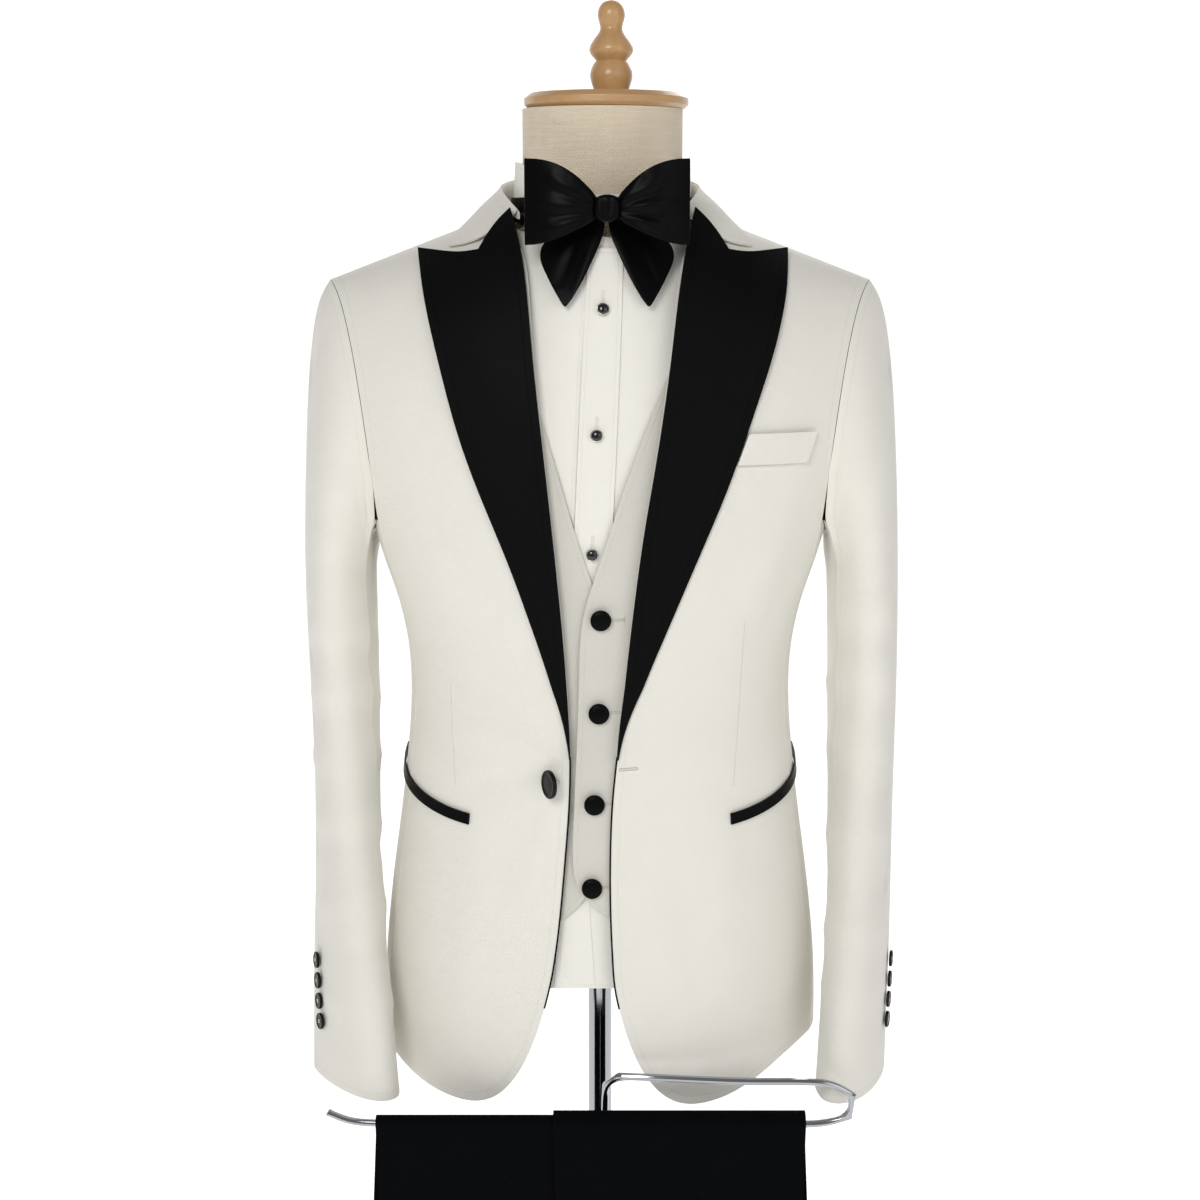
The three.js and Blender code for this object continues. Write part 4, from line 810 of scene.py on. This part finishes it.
def on_folds(mm):
    """Below the sleeve's crown and inside its outermost edge."""
    return mm.z < FOLDS_BELOW and abs(mm.x) < FOLDS_WITHIN


SLEEVE_FOLDS = {
    "right": [
        ((-66, 1085), (10, 1050), 10, 2.4),
        ((-66, 1062), (0, 1030), 8, -2.2),
        ((-66, 1030), (20, 1005), 9, 2.2),
        ((-66, 1008), (-5, 985), 7, -1.9),
        ((-66, 975), (15, 958), 9, 2.0),
        ((-64, 930), (-10, 905), 9, 1.8),
        ((-64, 905), (5, 885), 7, -1.6),
        ((-62, 860), (0, 838), 9, 1.9),
        ((-62, 820), (10, 806), 8, -1.5),
        ((-60, 780), (5, 762), 8, 1.6),
        ((60, 1120), (0, 1150), 14, 2.0),
        ((60, 1010), (10, 985), 10, -1.6),
        ((-60, 1190), (-20, 1240), 12, 1.6),
        ((-30, 1310), (10, 1240), 12, -1.4),
        ((55, 880), (0, 850), 12, 1.6),
        ((-64, 1130), (-20, 1110), 9, -1.6),
    ],
    "left": [
        ((-66, 1100), (12, 1072), 10, 2.3),
        ((-66, 1074), (0, 1052), 8, -2.1),
        ((-66, 1046), (18, 1016), 9, 2.4),
        ((-66, 1016), (0, 996), 8, -2.0),
        ((-66, 985), (16, 962), 9, 2.1),
        ((-64, 948), (0, 930), 8, -1.6),
        ((-64, 915), (10, 893), 9, 1.9),
        ((-62, 872), (5, 856), 8, -1.6),
        ((-62, 840), (5, 818), 9, 1.8),
        ((-60, 790), (10, 776), 8, 1.5),
        ((60, 1110), (5, 1148), 14, 2.0),
        ((60, 1000), (12, 970), 10, -1.6),
        ((-60, 1200), (-22, 1250), 12, 1.5),
        ((-28, 1306), (12, 1236), 12, -1.4),
        ((55, 870), (0, 842), 12, 1.6),
        ((-64, 1140), (-24, 1122), 9, -1.5),
    ],
}
for side in ("right", "left"):
    for cut, flat, area in (("upper", (0.22, 0.66), 0.098), ("under", (0.17, 0.62), 0.077)):
        node = f"jacket_{cut}_sleeve_{side}"
        part = fine_copy(node, node + "_wool", 3, sharp=60)
        crease(part, SLEEVE_FOLDS[side], along_arm, from_arm, only=on_folds)
        mark_edges(part)
        mark_inside(part, from_arm, rim_from=-0.4)
        show(part, node, jacket_wool)


# The collar of self cloth and the two peak lapels in ribbed black satin. The collar's leaf turns over its
# stand behind the neck. The lapels roll back from the front edges, with a row of stitching along their own.
BLACK_THREAD = (0.0005, 0.0005, 0.0005)
lapel_satin = cloth("lapel_satin", (0.0028, 0.0028, 0.0031), (0.005, 0.005, 0.0055), 0.5, 4600, 0.08,
                    rib=0.5, relief=0.00014, strength=0.25, sheen=0.0, inset=6.5, stitch=BLACK_THREAD,
                    row_share=0.6, gloss=0.05)
collar = fine_copy("jacket_collar", "jacket_collar_wool", 3, sharp=60)
mark_edges(collar)
collar.data.attributes.new("inside", "FLOAT", "FACE")
show(collar, "jacket_collar", jacket_wool)
LAPEL_FOLDS = [
    ((-110, 1330), (-60, 1240), 16, 0.8),
    ((-70, 1260), (-45, 1130), 12, -0.7),
    ((112, 1330), (62, 1240), 16, 0.8),
    ((72, 1250), (46, 1120), 12, -0.7),
]


def run_out(piece):
    """Lets the lapel's lower end run out to a point along the roll line."""
    top = 1.045
    length = 0.061
    narrowing = 0.75
    foot = [v for v in piece.data.vertices if v.co.z < top]
    roll = min(foot, key=lambda v: abs(v.co.x)).co.x
    for v in foot:
        share = (top - v.co.z) / length
        v.co.x += (roll - v.co.x) * narrowing * max(0.0, min(1.0, share)) ** 1.6
    piece.data.update()


for side in ("right", "left"):
    node = f"jacket_lapel_{side}"
    lapel = fine_copy(node, f"{node}_satin", 3, sharp=60)
    run_out(lapel)
    crease(lapel, LAPEL_FOLDS, front_view, from_spine)
    mark_edges(lapel)
    show(lapel, node, lapel_satin)


# The buttons: sew through black buttons with a raised rim and pale thread on the cuffs, and one larger on the
# jacket's front, which hangs by its thread. Turned, polished and sewn.
button_black = polished("button_black", (0.003, 0.003, 0.0035), 0, 0.24, 0.15, gloss=0.18)
thread_pale = cloth("button_thread", (0.7, 0.68, 0.6), (0.5, 0.48, 0.4), 0.9, 6000, 0.1)
front_model = turned_disc("front_model", 11.4, 2.8, [(1.6, 0.4), (1.1, -0.7), (2.0, 0.0), (2.5, 0.2)])
hung_button = set_on(front_model, "jacket_button", "jacket_button_black")
show(hung_button, "jacket_button", button_black)
bpy.data.objects.remove(front_model)
hung_at, hung_facing = seat_of("jacket_button")
front = bpy.data.objects["jacket_front_right_wool"]
SHANK_LENGTH = 0.008
SHANK_RADIUS = 0.0007
SUNK_IN = 0.001
anchor = surface_of(front).find_nearest(hung_at - hung_facing * SHANK_LENGTH)[0]
reach = hung_at - hung_facing * SUNK_IN - anchor
for name, offset in (("shank_thread_1", 0.0006), ("shank_thread_2", -0.0006)):
    bpy.ops.object.select_all(action="DESELECT")
    bpy.ops.mesh.primitive_cylinder_add(vertices=12, radius=SHANK_RADIUS, depth=reach.length + SUNK_IN,
                                        location=(0, 0, 0))
    shank = bpy.context.object
    shank.name = name
    place = Matrix.Translation(anchor + reach / 2 + Vector((0, 0, offset)))
    shank.data.transform(place @ reach.to_track_quat("Z", "Y").to_matrix().to_4x4())
    bpy.ops.object.shade_smooth()
    shank.data.materials.append(thread_pale)
    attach(shank, "root")
cuff = turned_disc("cuff_model", 6.8, 2.2, [(0.9, 0.3), (0.7, -0.6), (1.6, 0.0), (1.6, 0.0)])
cuff.data.materials.append(button_black)
cuff.data.materials.append(thread_pale)
for quarter in range(2):
    bpy.ops.mesh.primitive_cylinder_add(vertices=12, radius=0.0005, depth=0.0036, location=(0, 0, 0.00105),
                                        rotation=(math.pi / 2, 0, math.pi / 4 + quarter * math.pi / 2))
    bar = bpy.context.object
    bpy.ops.object.transform_apply(location=True, rotation=True, scale=True)
    bar.data.materials.append(button_black)
    bar.data.materials.append(thread_pale)
    for face in bar.data.polygons:
        face.material_index = 1
    bar.select_set(True)
    cuff.select_set(True)
    bpy.context.view_layer.objects.active = cuff
    bpy.ops.object.join()
for side in ("right", "left"):
    for i in (1, 2, 3, 4):
        node = f"cuff_button_{side}_{i}"
        piece = set_on(cuff, node, f"{node}_sewn", spin=0.3 * i)
        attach(piece, "root")
        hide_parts(node)
bpy.data.objects.remove(cuff)


# The trousers: matte black wool, four panels and a waistband, pressed flat and folded over the rail with the
# legs in front of the seat. The cloth sags a little between its creases.
trouser_wool = cloth("trouser_wool", (0.0018, 0.0021, 0.0028), (0.0042, 0.0046, 0.0058), 0.95, 3300, 0.15,
                     relief=0.0002, strength=0.4, sheen=0.0, gloss=0.04)
TROUSER_FOLDS = [
    ((-150, 672), (-140, 430), 16, 2.0),
    ((-90, 668), (-96, 300), 12, -1.6),
    ((-30, 670), (-40, 380), 14, 1.8),
    ((40, 672), (52, 340), 13, -1.6),
    ((100, 670), (96, 420), 15, 2.0),
    ((150, 668), (156, 260), 13, 1.6),
    ((-120, 420), (-126, 200), 15, 1.8),
    ((70, 330), (60, 200), 15, 1.7),
]
LEG_CUT = ((0.26, 1.06), 0.214)
RAIL_DEPTH = -132
RAIL_HEIGHT = 680
trouser_cuts = {f"trouser_{cut}_{side}": LEG_CUT for cut in ("back", "front") for side in ("right", "left")}
trouser_cuts["trouser_waistband"] = ((0.79, 0.04), 0.0307)
for node, (flat, area) in trouser_cuts.items():
    part = fine_copy(node, node + "_wool", 3, sharp=60)
    crease(part, TROUSER_FOLDS, front_view, lambda mm: Vector((0, -1 if mm.y < RAIL_DEPTH else 1, 0)),
           only=lambda mm: mm.z < RAIL_HEIGHT)
    show(part, node, trouser_wool)
